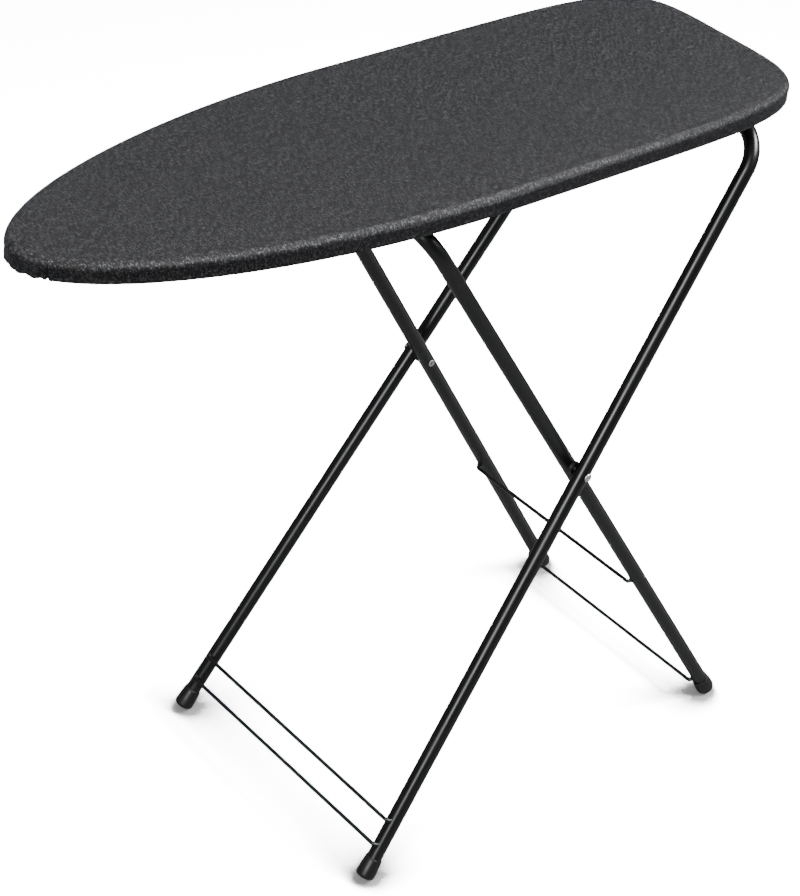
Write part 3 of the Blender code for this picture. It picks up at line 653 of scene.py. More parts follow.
@dataclass
class BoardPlan:
    """Plan of the board: a long nose and a blunt tail, each a quarter superellipse on either side."""

    nose_length: float = 0.508
    nose_powers: tuple[float, float] = (1.90, 1.88)
    tail_powers: tuple[float, float] = (7.0, 4.6)
    dense: int = 3000
    low: Vector = field(default_factory=lambda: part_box("cover")[0])
    high: Vector = field(default_factory=lambda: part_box("cover")[1])

    def half(self) -> np.ndarray:
        """Dense points of the +Y half, nose tip to tail."""
        half_width = (self.high.y - self.low.y) / 2
        widest = self.low.x + self.nose_length
        turn = np.linspace(0, math.pi / 2, self.dense)
        nose_x = widest - self.nose_length * np.cos(turn) ** (2 / self.nose_powers[0])
        nose_y = half_width * np.sin(turn) ** (2 / self.nose_powers[1])
        back = turn[::-1]
        tail_x = widest + (self.high.x - widest) * np.cos(back) ** (2 / self.tail_powers[0])
        tail_y = half_width * np.sin(back) ** (2 / self.tail_powers[1])
        nose = np.stack((nose_x, nose_y), axis=1)
        return np.concatenate((nose, np.stack((tail_x, tail_y), axis=1)[1:]))

    def outline(self, count: int, inset: float = 0.0, crowd: float = 0.0) -> Outline:
        """The closed plan, counter-clockwise from above, starting at the tip of the nose.

        Args:
            count: Number of points.
            inset: How far it is moved inwards.
            crowd: How much closer the points stand round the nose; at 0 they are evenly spaced.

        Returns:
            The outline.
        """
        upper = self.half()
        loop = np.concatenate(((upper * (1, -1))[:-1], upper[:0:-1]))
        closed = np.concatenate((loop, loop[:1]))
        steps = np.linalg.norm(np.diff(closed, axis=0), axis=1)
        run = np.concatenate(([0.0], np.cumsum(steps)))
        even = np.linspace(0, run[-1], 4000)
        from_tip = np.minimum(even, run[-1] - even)
        density = 1 + crowd * np.exp(-((from_tip / 0.085) ** 4))
        weight = np.concatenate(([0.0], np.cumsum(density[1:] + density[:-1])))
        marks = np.interp(np.linspace(0, weight[-1], count, endpoint=False), weight, even)
        places = np.stack([np.interp(marks, run, closed[:, axis]) for axis in (0, 1)], axis=1)
        tangent = unit(np.roll(places, -1, axis=0) - np.roll(places, 1, axis=0))
        outward = np.stack((tangent[:, 1], -tangent[:, 0]), axis=1)
        turning = np.cross(tangent, np.roll(tangent, -1, axis=0))
        spread = np.exp(-0.5 * (np.arange(-12, 13) / 4.0) ** 2)
        padded = np.concatenate((turning[-12:], turning, turning[:12]))
        step = np.linalg.norm(np.roll(places, -1, axis=0) - places, axis=1)
        bend = np.convolve(padded, spread / spread.sum(), mode="valid") / step
        return Outline(places - outward * inset, outward, marks, float(run[-1]), bend)

    def spine(self, places: np.ndarray, margin: float) -> np.ndarray:
        """Nearest point of the middle line to each place; the line stops short of nose and tail."""
        along = np.clip(places[:, 0], self.low.x + 2.2 * margin, self.high.x - margin)
        return np.stack((along, np.zeros(len(places))), axis=1)


# ----------------------------------------------------------------- soft goods
@dataclass(frozen=True)
class Pucker:
    """One fold of the hem: its place round the board, half width, height and how far up it starts."""

    place: float
    width: float
    height: float
    reach: float


PUCKERS = (  # round the nose, from just short of its tip, and one at the tail's corner
    Pucker(-0.0170, 0.0040, 0.0012, 0.40),
    Pucker(-0.0060, 0.0035, -0.0010, 0.50),
    Pucker(0.0100, 0.0030, 0.0013, 0.45),
    Pucker(0.0190, 0.0026, -0.0012, 0.50),
    Pucker(0.0285, 0.0032, 0.0012, 0.40),
    Pucker(0.0360, 0.0020, -0.0010, 0.55),
    Pucker(0.0428, 0.0012, -0.0024, 0.85),
    Pucker(0.0462, 0.0016, 0.0008, 0.80),
    Pucker(0.0507, 0.0017, 0.0019, 0.22),
    Pucker(0.0745, 0.0020, 0.0026, 0.18),
    Pucker(0.0960, 0.0040, 0.0009, 0.15),
    Pucker(0.9950, 0.0050, 0.0012, 0.20),
)


@dataclass
class Cover:
    """Fitted cover: flat top, rounded edge, side, and a hem gathered in under the rim."""

    workshop: Workshop
    plan: BoardPlan
    columns: int = 800
    crowd: float = 2.6
    wall: float = 0.0011
    edge_round: float = 0.0098
    foot_round: float = 0.0022
    hem_width: float = 0.018
    roll: float = 0.0010
    roll_back: float = 0.005
    slack: float = 0.0005
    gather: float = 0.0010
    crown: float = 0.0006
    shoulder: float = 0.03
    spine_margin: float = 0.115
    plan_share: float = 0.8

    def section(self) -> tuple[np.ndarray, np.ndarray, np.ndarray]:
        """Section across the edge, from the end of the flat top to the rolled hem.

        Returns:
            Inset and height of each point, its direction out of the cloth, and the length of cloth up to it.
        """
        top, low = self.plan.high.z, self.plan.low.z
        turn = np.linspace(0, math.pi / 2, 10)
        edge = (self.edge_round * (1 - np.sin(turn)), top - self.edge_round * (1 - np.cos(turn)))
        share = np.linspace(0, 1, 9)[1:]
        side_top, side_low = top - self.edge_round, low + self.foot_round
        side = (self.slack * np.sin(math.pi * share), side_top + (side_low - side_top) * share)
        turn = np.linspace(0, math.pi / 2, 6)[1:]
        foot = (self.foot_round * (1 - np.cos(turn)), low + self.foot_round * (1 - np.sin(turn)))
        under = (np.linspace(self.foot_round, self.hem_width, 9)[1:], np.full(8, low))
        turn = np.linspace(0, math.pi, 6)[1:]
        roll = (self.hem_width + self.roll * np.sin(turn), low + self.roll * (1 - np.cos(turn)))
        back = (self.hem_width - self.roll_back * np.array((0.5, 1.0)), np.full(2, low + 2 * self.roll))
        points = np.concatenate([np.stack(part, axis=1) for part in (edge, side, foot, under, roll, back)])
        along = unit(np.gradient(points, axis=0))
        out = np.stack((along[:, 1], -along[:, 0]), axis=1)
        run = np.concatenate(([0.0], np.cumsum(np.linalg.norm(np.diff(points, axis=0), axis=1))))
        return points, out, run

    def gathers(self, outline: Outline, run: np.ndarray) -> np.ndarray:
        """How far the cloth stands off its section: waves round the edge that grow towards the hem.

        The spare cloth of a turned-in hem grows with the curvature of the plan, so the waves are
        deepest round the nose and the tail's corners.

        Args:
            outline: Points round the board.
            run: Length of cloth from the edge of the flat top to each row.

        Returns:
            Array of (rows, columns), in metres.
        """
        turn = outline.run / outline.length * math.tau
        share = np.clip(outline.bend * self.hem_width / 0.16, 0, 1.3)
        wander = 0.8 * np.sin(5 * turn + 0.7) + 0.6 * np.sin(11 * turn + 2.1)
        pleats = np.cos(203 * turn + 5 * wander) + 0.55 * np.cos(131 * turn - 7 * wander + 1.3)
        pleats += 0.35 * np.cos(317 * turn + 3 * wander + 0.4)
        sharp = np.sign(pleats) * np.abs(pleats / 1.9) ** 0.75
        slow = np.cos(37 * turn + 1.1) * np.cos(23 * turn + 0.3)
        side_length = self.edge_round * math.pi / 2 + (self.plan.high.z - self.plan.low.z)
        growth = np.clip((run - 0.35 * side_length) / (0.95 * side_length), 0, 1)[:, None] ** 2.0
        depth = self.gather * (0.22 + 0.9 * share) * (1 + 0.35 * slow)
        return growth * depth * sharp + self.puckers(outline, run, side_length)

    def puckers(self, outline: Outline, run: np.ndarray, side_length: float) -> np.ndarray:
        """Single folds: a bell across each one, times a ramp that rises down the side and stays on below."""
        place, width, height, reach = np.array([(p.place, p.width, p.height, p.reach) for p in PUCKERS]).T
        away = outline.run[:, None] - place
        away = away - outline.length * np.round(away / outline.length)
        across = height * np.exp(-((away / width) ** 2))
        ramp = np.clip((run[:, None] / side_length - 1 + reach) / (0.5 * reach), 0, 1)
        return ramp**1.5 @ across.T

    def surface(self) -> tuple[np.ndarray, np.ndarray]:
        """The whole cover as a grid: rings from the middle line out, over the edge and under.

        The top is a flat face with slow ripples that die out where it falls to the edge by the crown.

        Returns:
            Points (rows, columns, 3) and flat cloth places (rows, columns, 2).
        """
        outline = self.plan.outline(self.columns, crowd=self.crowd)
        spine = self.plan.spine(outline.places, self.spine_margin)
        brim = outline.inset(self.edge_round)
        share = 1 - (1 - np.linspace(0, 1, 20)) ** 1.6
        flat = spine + (brim - spine) * share[:, None, None]
        reach = np.linalg.norm(flat - brim, axis=-1)
        softness = np.clip(reach / self.shoulder, 0, 1)
        x, y = flat[..., 0], flat[..., 1]
        ripple = 0.25 * np.sin(11 * x + 3 * y) + 0.2 * np.sin(31 * y - 7 * x + 1)
        ripple += 0.15 * np.sin(47 * x + 23 * y + 2)
        fall = self.crown * (1 - softness**2) * (reach < self.shoulder)
        height = self.plan.high.z - fall - self.crown * 0.3 * softness * (0.6 - ripple)
        height = np.where(share[:, None] >= 1, self.plan.high.z - self.crown, height)
        top = np.concatenate((flat, height[..., None]), axis=-1)
        points, out, run = self.section()
        lift = self.gathers(outline, run)
        drop = points[:, 1:] + lift * out[:, 1:]
        inset = points[:, :1] + lift * out[:, :1]
        around = outline.places - outline.outward * inset[..., None]
        drop = drop - self.crown * np.exp(-run / 0.004)[:, None]
        edge = np.concatenate((around, drop[..., None]), axis=-1)
        flat_edge = brim + outline.outward * run[:, None, None]
        return np.concatenate((top[:-1], edge)), np.concatenate((flat[:-1], flat_edge))

    def build(self) -> bpy.types.Object:
        grid, cloth = self.surface()
        rows, columns = grid.shape[:2]
        mesh = bpy.data.meshes.new("cover_cloth")
        index = np.arange(rows * columns).reshape(rows, columns)
        here, following = index[:-1], index[1:]
        corners = (here, following, np.roll(following, -1, axis=1), np.roll(here, -1, axis=1))
        faces = np.stack(corners, axis=-1).reshape(-1, 4)
        mesh.from_pydata(grid.reshape(-1, 3).tolist(), [], faces.tolist())
        flat_map = mesh.uv_layers.new(name="cloth")
        flat_map.data.foreach_set("uv", cloth.reshape(-1, 2)[faces.reshape(-1)].astype(np.float32).ravel())
        tidied(mesh, outward=True)
        piece = self.workshop.add(mesh, "cover", "board", ("cover",), sharp=80.0)
        wall = piece.modifiers.new("cloth", "SOLIDIFY")
        wall.thickness = self.wall
        wall.offset = -1.0
        return piece


@dataclass
class Padding:
    """Felt pad under the cover: a flat closed lens with a rounded edge."""

    workshop: Workshop
    plan: BoardPlan
    columns: int = 480
    inset: float = 0.0046
    spine_margin: float = 0.115

    def build(self) -> bpy.types.Object:
        """Rings from the middle of the top, round the edge, to the middle of the underside."""
        low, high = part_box("felt_pad")
        outline = self.plan.outline(self.columns)
        spine = self.plan.spine(outline.places, self.spine_margin)
        half = (high.z - low.z) / 2
        brim = outline.inset(self.inset + half)
        share = np.linspace(0, 1, 20) ** 0.8
        flat = spine + (brim - spine) * share[:, None, None]
        x, y = flat[..., 0], flat[..., 1]
        felted = 0.00025 * np.sin(60 * x + 2 * np.sin(45 * y)) * np.sin(52 * y + 1)
        felted = felted * (1 - share[:, None] ** 4)
        top = np.concatenate((flat, (high.z - 0.0004 + felted)[..., None]), axis=-1)
        bottom = np.concatenate((flat, np.full(flat.shape[:2], low.z)[..., None]), axis=-1)
        turn = np.linspace(0, math.pi, 9)[1:-1]
        inset = self.inset + half * (1 - np.sin(turn))
        height = (high.z + low.z) / 2 + half * np.cos(turn)
        around = outline.places - outline.outward * inset[:, None, None]
        level = np.broadcast_to(height[:, None, None], (*around.shape[:2], 1))
        round_edge = np.concatenate((around, level), axis=-1)
        grid = np.concatenate((top, round_edge, bottom[::-1]))
        mesh = grid_mesh("felt_padding", grid, End.OPEN, End.OPEN)
        piece = self.workshop.add(mesh, "felt", "board", ("felt_pad",), sharp=60.0)
        return piece


@dataclass
class Hem:
    """Elastic drawn round inside the hem, and the stitching that holds the hem's turn."""

    workshop: Workshop
    plan: BoardPlan
    cover: Cover
    stitch_length: float = 0.0030
    stitch_gap: float = 0.0007
    thread: float = 0.00032

    def elastic(self) -> bpy.types.Object:
        """Closed braided cord: a round bar along the hem's inner edge, slightly slack between gathers."""
        low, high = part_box("hem_elastic")
        radius = (high.z - low.z) / 2
        inset = low.x - self.plan.low.x + radius
        outline = self.plan.outline(900)
        turn = outline.run / outline.length * math.tau
        slack = 0.0003 * np.cos(203 * turn) + 0.0002 * np.sin(77 * turn)
        path = outline.inset(inset + np.abs(slack))
        height = (low.z + high.z) / 2 + 0.0002 * np.sin(131 * turn + 0.5)
        places = np.concatenate((path, height[:, None]), axis=1)
        tangent = unit(np.roll(places, -1, axis=0) - np.roll(places, 1, axis=0))
        rings = swept(places, tangent, UP, radius, 14)
        mesh = grid_mesh("hem_elastic_cord", rings, loop=True)
        return self.workshop.add(mesh, "elastic", "board", ("hem_elastic",))

    def stitching(self) -> bpy.types.Object:
        """Short thread bars, end to end round the hem, each sunk at its two ends."""
        points, _, run = self.cover.section()
        inset = self.cover.hem_width - self.cover.roll_back * 0.7
        outline = self.plan.outline(7200)
        row = int(np.argmin(np.abs(points[:, 0] - inset) + 10 * np.abs(points[:, 1] - self.plan.low.z)))
        lift = self.cover.gathers(outline, run[row : row + 1])[0]
        line = np.concatenate((outline.inset(points[row, 0]), (self.plan.low.z - lift)[:, None]), axis=1)
        pitch = self.stitch_length + self.stitch_gap
        count = int(outline.length / pitch)
        bar = np.linspace(0, self.stitch_length / pitch, 5)
        marks = (np.arange(count)[:, None] + bar) * outline.length / count
        closed = np.concatenate((line, line[:1]))
        run_round = np.append(outline.run, outline.length)
        centre = np.stack([np.interp(marks.ravel(), run_round, closed[:, axis]) for axis in range(3)], axis=1)
        centre = centre.reshape(count, 5, 3)
        centre[..., 2] -= self.thread * np.array((-0.4, 0.7, 1.0, 0.7, -0.4))
        tangent = unit(np.gradient(centre, axis=1))
        across = unit(np.cross(tangent, UP))
        normal = np.cross(across, tangent)
        turn = np.linspace(0, math.tau, 6, endpoint=False)[:, None]
        radius = self.thread * np.array((0.5, 0.95, 1.0, 0.95, 0.5))[None, :, None, None]
        ring = np.cos(turn) * across[:, :, None] + np.sin(turn) * normal[:, :, None]
        mesh = grid_mesh("hem_stitching", centre[:, :, None] + radius * ring)
        return self.workshop.add(mesh, "thread", "board")


# ---------------------------------------------------------------- steel parts
@dataclass
class PressedTop:
    """Perforated steel top: a plain rim round a field of small steam holes."""

    workshop: Workshop
    plan: BoardPlan
    pitch: float = 0.0165
    hole: float = 0.0036
    margin: float = 0.022
    hole_points: int = 12

    def build(self) -> bpy.types.Object:
        """Triangulate the plan with its holes left open, then give it its thickness."""
        low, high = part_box("steel_top")
        edge = self.plan.outline(300, inset=low.x - self.plan.low.x).places
        rows = np.arange(-12, 13) * self.pitch * math.sqrt(3) / 2
        columns = np.arange(0, 70) * self.pitch + self.plan.low.x
        x, y = np.meshgrid(columns, rows)
        x = x + (np.arange(len(rows)) % 2)[:, None] * self.pitch / 2
        centres = np.stack((x.ravel(), y.ravel()), axis=1)
        safe = self.plan.outline(600, inset=self.margin).places
        upper = safe[safe[:, 1] > 0]
        upper = upper[np.argsort(upper[:, 0])]
        limit = np.interp(centres[:, 0], upper[:, 0], upper[:, 1], left=-1, right=-1)
        centres = centres[np.abs(centres[:, 1]) < limit]
        turn = np.linspace(0, math.tau, self.hole_points, endpoint=False)
        ring = self.hole * np.stack((np.cos(turn), np.sin(turn)), axis=1)
        holes = centres[:, None] + ring
        places = np.concatenate((edge, holes.reshape(-1, 2)))
        first = np.arange(len(edge))
        loops = len(edge) + np.arange(holes.shape[0] * self.hole_points).reshape(-1, self.hole_points)
        edge_pairs = np.stack((first, np.roll(first, -1)), axis=1)
        hole_pairs = np.stack((loops, np.roll(loops, -1, axis=1)), axis=-1).reshape(-1, 2)
        pairs = np.concatenate((edge_pairs, hole_pairs))
        flat = delaunay_2d_cdt([Vector(p) for p in places.tolist()], pairs.tolist(), [], 5, 1e-7)
        mesh = bpy.data.meshes.new("perforated_top")
        lifted = np.column_stack((np.array([tuple(v) for v in flat[0]]), np.full(len(flat[0]), high.z)))
        mesh.from_pydata(lifted.tolist(), [], flat[2])
        tidied(mesh, outward=False)
        piece = self.workshop.add(mesh, "paint", "board", ("steel_top",), sharp=30.0)
        wall = piece.modifiers.new("sheet", "SOLIDIFY")
        wall.thickness = high.z - low.z
        wall.offset = -1.0
        return piece


@dataclass
class PressedParts:
    """Rails, brackets and channels: the CAD shapes with the small radii of pressed sheet."""

    workshop: Workshop
    radius: float = 0.00045
    flat_angle: float = 1.0

    def build(self, node: str, finish: str, radius: float | None = None) -> bpy.types.Object:
        """Merge a copy of a CAD node, clear its flat faces and round its edges.

        Args:
            node: CAD node, which the new piece replaces.
            finish: Key of its material.
            radius: Edge radius, or the class's own.

        Returns:
            The new piece.
        """
        mesh = frame["nodes"][node].data.copy()
        mesh.name = node + "_pressed"
        shape = bmesh.new()
        shape.from_mesh(mesh)
        bmesh.ops.remove_doubles(shape, verts=shape.verts, dist=1e-6)
        bmesh.ops.dissolve_limit(
            shape, angle_limit=math.radians(self.flat_angle), verts=shape.verts, edges=shape.edges,
        )
        shape.to_mesh(mesh)
        shape.free()
        body = frame["nodes"][node]["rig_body"]
        piece = self.workshop.add(mesh, finish, body, (node,))
        edge = piece.modifiers.new("edge", "BEVEL")
        edge.width = self.radius if radius is None else radius
        edge.segments = 2
        edge.limit_method = "ANGLE"
        edge.angle_limit = math.radians(40)
        return piece


@dataclass
class TurnedParts:
    """Round pieces: rivets, bushes, collars and glides, each a profile turned about its own axis."""

    workshop: Workshop
    segments: int = 64
    edge: float = 0.0005
    spacer_bore: float = 0.0033
    bar_bore: float = 0.0099
    flange: float = 0.0015
    flange_step: float = 0.003

    def middle(self, node: str) -> np.ndarray:
        """Middle of a CAD node's box."""
        low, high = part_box(node)
        return np.array((low + high) / 2)

    def ring(self, node: str, finish: str, profile: list[tuple[float, float]], side: int) -> bpy.types.Object:
        """A closed ring section turned about Y, with heights measured outwards from the node's middle."""
        rounded = filleted(np.array(profile), self.edge, 4, closed=True)
        centre = self.middle(node)
        grid = turned(rounded, centre, np.array((0.0, side, 0.0)), self.segments)
        mesh = grid_mesh(node + "_turned", grid, loop=True)
        return self.workshop.add(mesh, finish, frame["nodes"][node]["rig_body"], (node,))

    def pivot_rivet(self, node: str, side: int) -> bpy.types.Object:
        """Semi-tubular rivet: a domed head with a dimple, a plain shank and a rolled hollow end."""
        low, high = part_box(node)
        head, long = (high.x - low.x) / 2, high.y - low.y
        shank, bore, dome, roll = 0.0030, 0.0020, 0.0026, 0.0018
        profile = np.array([
            (0, 0.0055), (bore, 0.0055), (bore, 0.0008), (bore * 1.45, 0), (head * 0.78, 0),
            (head * 0.86, roll * 0.5), (head * 0.78, roll), (shank, roll),
            (shank, long - dome), (head, long - dome), (head, long - dome * 0.72),
            (head * 0.8, long - dome * 0.22), (head * 0.5, long), (head * 0.3, long - dome * 0.1),
            (head * 0.16, long - dome * 0.36), (0, long - dome * 0.4),
        ])
        origin = self.middle(node)
        origin[1] = side * min(abs(low.y), abs(high.y))
        rounded = filleted(profile, self.edge * 1.4, 5)
        grid = turned(rounded, origin, np.array((0.0, side, 0.0)), self.segments)
        mesh = grid_mesh(node + "_turned", grid)
        return self.workshop.add(mesh, "zinc", frame["nodes"][node]["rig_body"], (node,), sharp=50.0)

    def fixing(self, node: str) -> bpy.types.Object:
        """Small round-headed rivet, head below and shop end above."""
        low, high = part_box(node)
        head, long = (high.x - low.x) / 2, high.z - low.z
        shank, crown, shop = 0.0022, 0.0018, 0.0009
        turn = np.linspace(0, math.pi / 2, 9)
        dome = np.stack((head * np.sin(turn), crown * (1 - np.cos(turn))), axis=1)
        rest = np.array([
            (head, crown * 1.02), (shank, crown * 1.02), (shank, long - shop),
            (shank * 1.5, long - shop), (shank * 1.4, long - shop * 0.3), (shank * 0.9, long), (0, long),
        ])
        profile = np.concatenate((dome, filleted(rest, 0.0003, 4)))
        origin = self.middle(node)
        origin[2] = low.z
        grid = turned(profile, origin, UP, 40)
        mesh = grid_mesh(node + "_turned", grid)
        return self.workshop.add(mesh, "zinc", "board", (node,), sharp=50.0)

    def halves(self, node: str) -> tuple[float, float]:
        """Half of a piece's length along its axis, and its radius."""
        low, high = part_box(node)
        return (high.y - low.y) / 2, (high.x - low.x) / 2

    def spacer(self, node: str, side: int) -> None:
        """Collar on the pivot rivet, with a shallow groove round its middle."""
        half, wide = self.halves(node)
        groove = [(wide, -half * 0.2), (wide * 0.94, 0), (wide, half * 0.2)]
        bore = self.spacer_bore
        self.ring(node, "plastic", [(bore, -half), (wide, -half), *groove, (wide, half), (bore, half)], side)

    def spool(self, node: str, side: int, flanges: int) -> None:
        """Bearing on a top bar: a hub with a flange at its inner end, or at both ends."""
        half, wide = self.halves(node)
        hub, inner = wide - self.flange_step, self.flange - half
        profile = [(self.bar_bore, -half), (wide, -half), (wide, inner), (hub, inner)]
        if flanges == 2:
            profile += [(hub, -inner), (wide, -inner), (wide, half)]
        else:
            profile += [(hub, half)]
        self.ring(node, "plastic", [*profile, (self.bar_bore, half)], side)

    def build(self) -> None:
        """Every round piece on both sides."""
        for word, side in SIDES:
            self.pivot_rivet("pivot_rivet_" + word, side)
            self.spacer("pivot_spacer_" + word, side)
            self.spool("slot_glide_" + word, side, 2)
            self.spool("pivot_bush_" + word, side, 1)
            for station in ("rail_rivet_nose_", "rail_rivet_middle_", "bracket_rivet_"):
                self.fixing(station + word)


# --------------------------------------------------------------------- frames
@dataclass
class TubeFrame:
    """One U-shaped frame: bent tube, two foot caps and two wire braces."""

    workshop: Workshop
    body: str
    cross: Vector
    bar: tuple[float, float]
    cross_half: float
    bend: float
    radius: float = 0.0095
    wall: float = 0.0012
    sides: int = 48
    bend_steps: int = 26
    ring_pitch: float = 0.03
    wire: float = 0.0026
    wire_offset: float = 0.0137
    cap_length: float = 0.027
    cap_floor: float = 0.0062
    cap_radius: float = 0.0120
    mouth_radius: float = 0.0108

    def __post_init__(self) -> None:
        """Work out both legs from the tube's end ring, the crossing and the top bar."""
        across = np.array((self.bar[0] - self.cross.x, 0.0, self.bar[1] - self.cross.z))
        mesh = frame["nodes"][self.body + "_tube"].data
        points = np.zeros(len(mesh.vertices) * 3)
        mesh.vertices.foreach_get("co", points)
        points = points.reshape(-1, 3)
        near = points[points[:, 1] > 0]
        climb = near @ unit(across)
        ring = np.unique(np.round(near[climb < climb.min() + 0.002], 6), axis=0)
        self.low_end = ring.mean(axis=0)
        crossing = np.array((self.cross.x, self.cross_half, self.cross.z))
        rise = crossing - self.low_end
        self.up = unit(rise)
        self.corner = self.low_end + rise * (self.bar[1] - self.low_end[2]) / rise[2]
        flat = unit(np.array((-across[2], 0.0, across[0])))
        self.nose_side = flat if flat[0] < 0 else -flat

    def mirrored(self, vector: np.ndarray, side: int) -> np.ndarray:
        """A point or direction of the left leg, taken to the leg on the given side."""
        return vector * np.array((1, side, 1))

    def bend_points(self) -> np.ndarray:
        """Arc from the left leg into the top bar: up the leg by the sine, inwards by one less the cosine."""
        bar = np.array((0.0, -1.0, 0.0))
        turn = math.acos(float(self.up @ bar))
        start = self.corner - self.up * self.bend * math.tan(turn / 2)
        inward = unit(bar - self.up * float(self.up @ bar))
        angle = np.linspace(0, turn, self.bend_steps + 1)[:, None]
        return start + self.up * self.bend * np.sin(angle) + inward * self.bend * (1 - np.cos(angle))

    def path(self) -> np.ndarray:
        """Axis of the whole tube, from the left foot over the top bar to the right foot."""
        arc = self.bend_points()
        long = np.linalg.norm(arc[0] - self.low_end)
        share = np.linspace(0, 1, max(3, int(long / self.ring_pitch)))[:-1, None]
        leg = self.low_end + (arc[0] - self.low_end) * share
        left = np.concatenate((leg, arc))
        right = (left * (1, -1, 1))[::-1]
        bar_share = np.linspace(0, 1, 8)[1:-1, None]
        bar = left[-1] + (right[0] - left[-1]) * bar_share
        return np.concatenate((left, bar, right))

    def tube(self) -> bpy.types.Object:
        """Bent tube with hollow ends: the outer skin turns in at each end to the bore."""
        path = self.path()
        tangent = spaced(path)
        bore = self.radius - self.wall
        depth = 0.012
        ends = ((path[:1] + tangent[:1] * depth, path[:1]), (path[-1:], path[-1:] - tangent[-1:] * depth))
        rings = np.concatenate((*ends[0], path, *ends[1]))
        directions = np.concatenate((tangent[:1], tangent[:1], tangent, tangent[-1:], tangent[-1:]))
        radii = np.concatenate(([bore, bore], np.full(len(path), self.radius), [bore, bore]))
        grid = swept(rings, directions, self.nose_side, radii, self.sides)
        mesh = grid_mesh(self.body + "_bent_tube", grid)
        return self.workshop.add(mesh, "enamel", self.body, (self.body + "_tube",), sharp=50.0)

    def cap(self, word: str, side: int) -> bpy.types.Object:
        """Moulded foot: flared wall with a lip at its mouth, rounded sole with a ring and a dimple."""
        bore = self.radius + 0.0002
        sole = self.cap_radius - 0.005
        turn = np.linspace(-math.pi / 2, 0, 12)
        heel = np.stack((sole + 0.005 * np.cos(turn), 0.005 + 0.005 * np.sin(turn)), axis=1)
        tread = np.array([
            (0, 0.0009), (0.0011, 0.0008), (0.0016, 0.0), (sole * 0.62, 0.0),
            (sole * 0.70, 0.0005), (sole * 0.80, 0.0005), (sole * 0.88, 0.0),
        ])
        length, wide, mouth = self.cap_length, self.cap_radius, self.mouth_radius
        wall = np.array([
            (wide, 0.0085), (wide - 0.0001, 0.0125), (0.01145, 0.018), (0.01110, 0.0225),
            (mouth + 0.0001, 0.0243), (mouth - 0.0001, 0.0248), (mouth + 0.0003, 0.0254),
            (mouth + 0.0002, length - 0.0005), (mouth - 0.0003, length), (bore + 0.0002, length),
            (bore, length - 0.0004), (bore, self.cap_floor), (0, self.cap_floor),
        ])
        profile = np.concatenate((filleted(tread, 0.0003, 4), heel, filleted(wall, 0.0006, 4)))
        up = self.mirrored(self.up, side)
        origin = self.mirrored(self.low_end, side) - up * self.cap_floor
        name = f"{self.body}_foot_{word}"
        mesh = grid_mesh(name + "_moulded", turned(profile, origin, up, 72))
        return self.workshop.add(mesh, "plastic", self.body, (name,), sharp=50.0)

    def brace(self, word: str) -> bpy.types.Object:
        """Wire across both legs: straight, its ends bent back into the legs and swollen at the weld."""
        name = f"{self.body}_brace_{word}"
        low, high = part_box(name)
        wire_z = high.z - self.wire if self.nose_side[2] > 0 else low.z + self.wire
        middle = np.array((low.x + self.wire, 0.0, wire_z))
        height = float((middle - self.nose_side * self.wire_offset)[2])
        leg = self.low_end + self.up * (height - self.low_end[2]) / self.up[2]
        bend = self.wire_offset - self.radius
        centre = leg + np.array((0.0, -bend, 0.0)) + self.nose_side * self.radius
        turn = np.linspace(-0.12, math.pi / 2, 15)[:, None]
        curve = centre + np.array((0.0, bend, 0.0)) * np.cos(turn) + self.nose_side * bend * np.sin(turn)
        span = np.linspace(0, 1, 30)[1:-1, None]
        right = (curve * (1, -1, 1))[::-1]
        path = np.concatenate((curve, curve[-1] + (right[0] - curve[-1]) * span, right))
        steps = np.arange(len(path))
        from_end = np.minimum(steps, steps[::-1])
        swell = 1 + 0.55 * np.exp(-((from_end / 2.6) ** 2))
        normal = np.cross(self.nose_side, np.array((0.0, 1.0, 0.0)))
        grid = swept(path, spaced(path), normal, self.wire * swell, 20)
        mesh = grid_mesh(name + "_wire", grid)
        return self.workshop.add(mesh, "enamel", self.body, (name,), sharp=60.0)

    def build(self) -> None:
        """Every piece of this frame."""
        self.tube()
        for word, side in SIDES:
            self.cap(word, side)
        for word in ("upper", "lower"):
            self.brace(word)


# --------------------------------------------------------------------- studio
class Softbox(Enum):
    """The studio's lights: place, aim, size, power."""

    TOP = ((0.1, 0.4, 3.2), (0.0, 0.0, 0.6), (2.2, 2.2), 60.0)
    KEY = ((-2.5, -1.3, 2.1), (0.1, -0.05, 0.5), (1.0, 2.2), 115.0)
    EDGE = ((1.95, -1.5, 2.8), (0.1, -0.1, 0.85), (1.6, 0.8), 220.0)


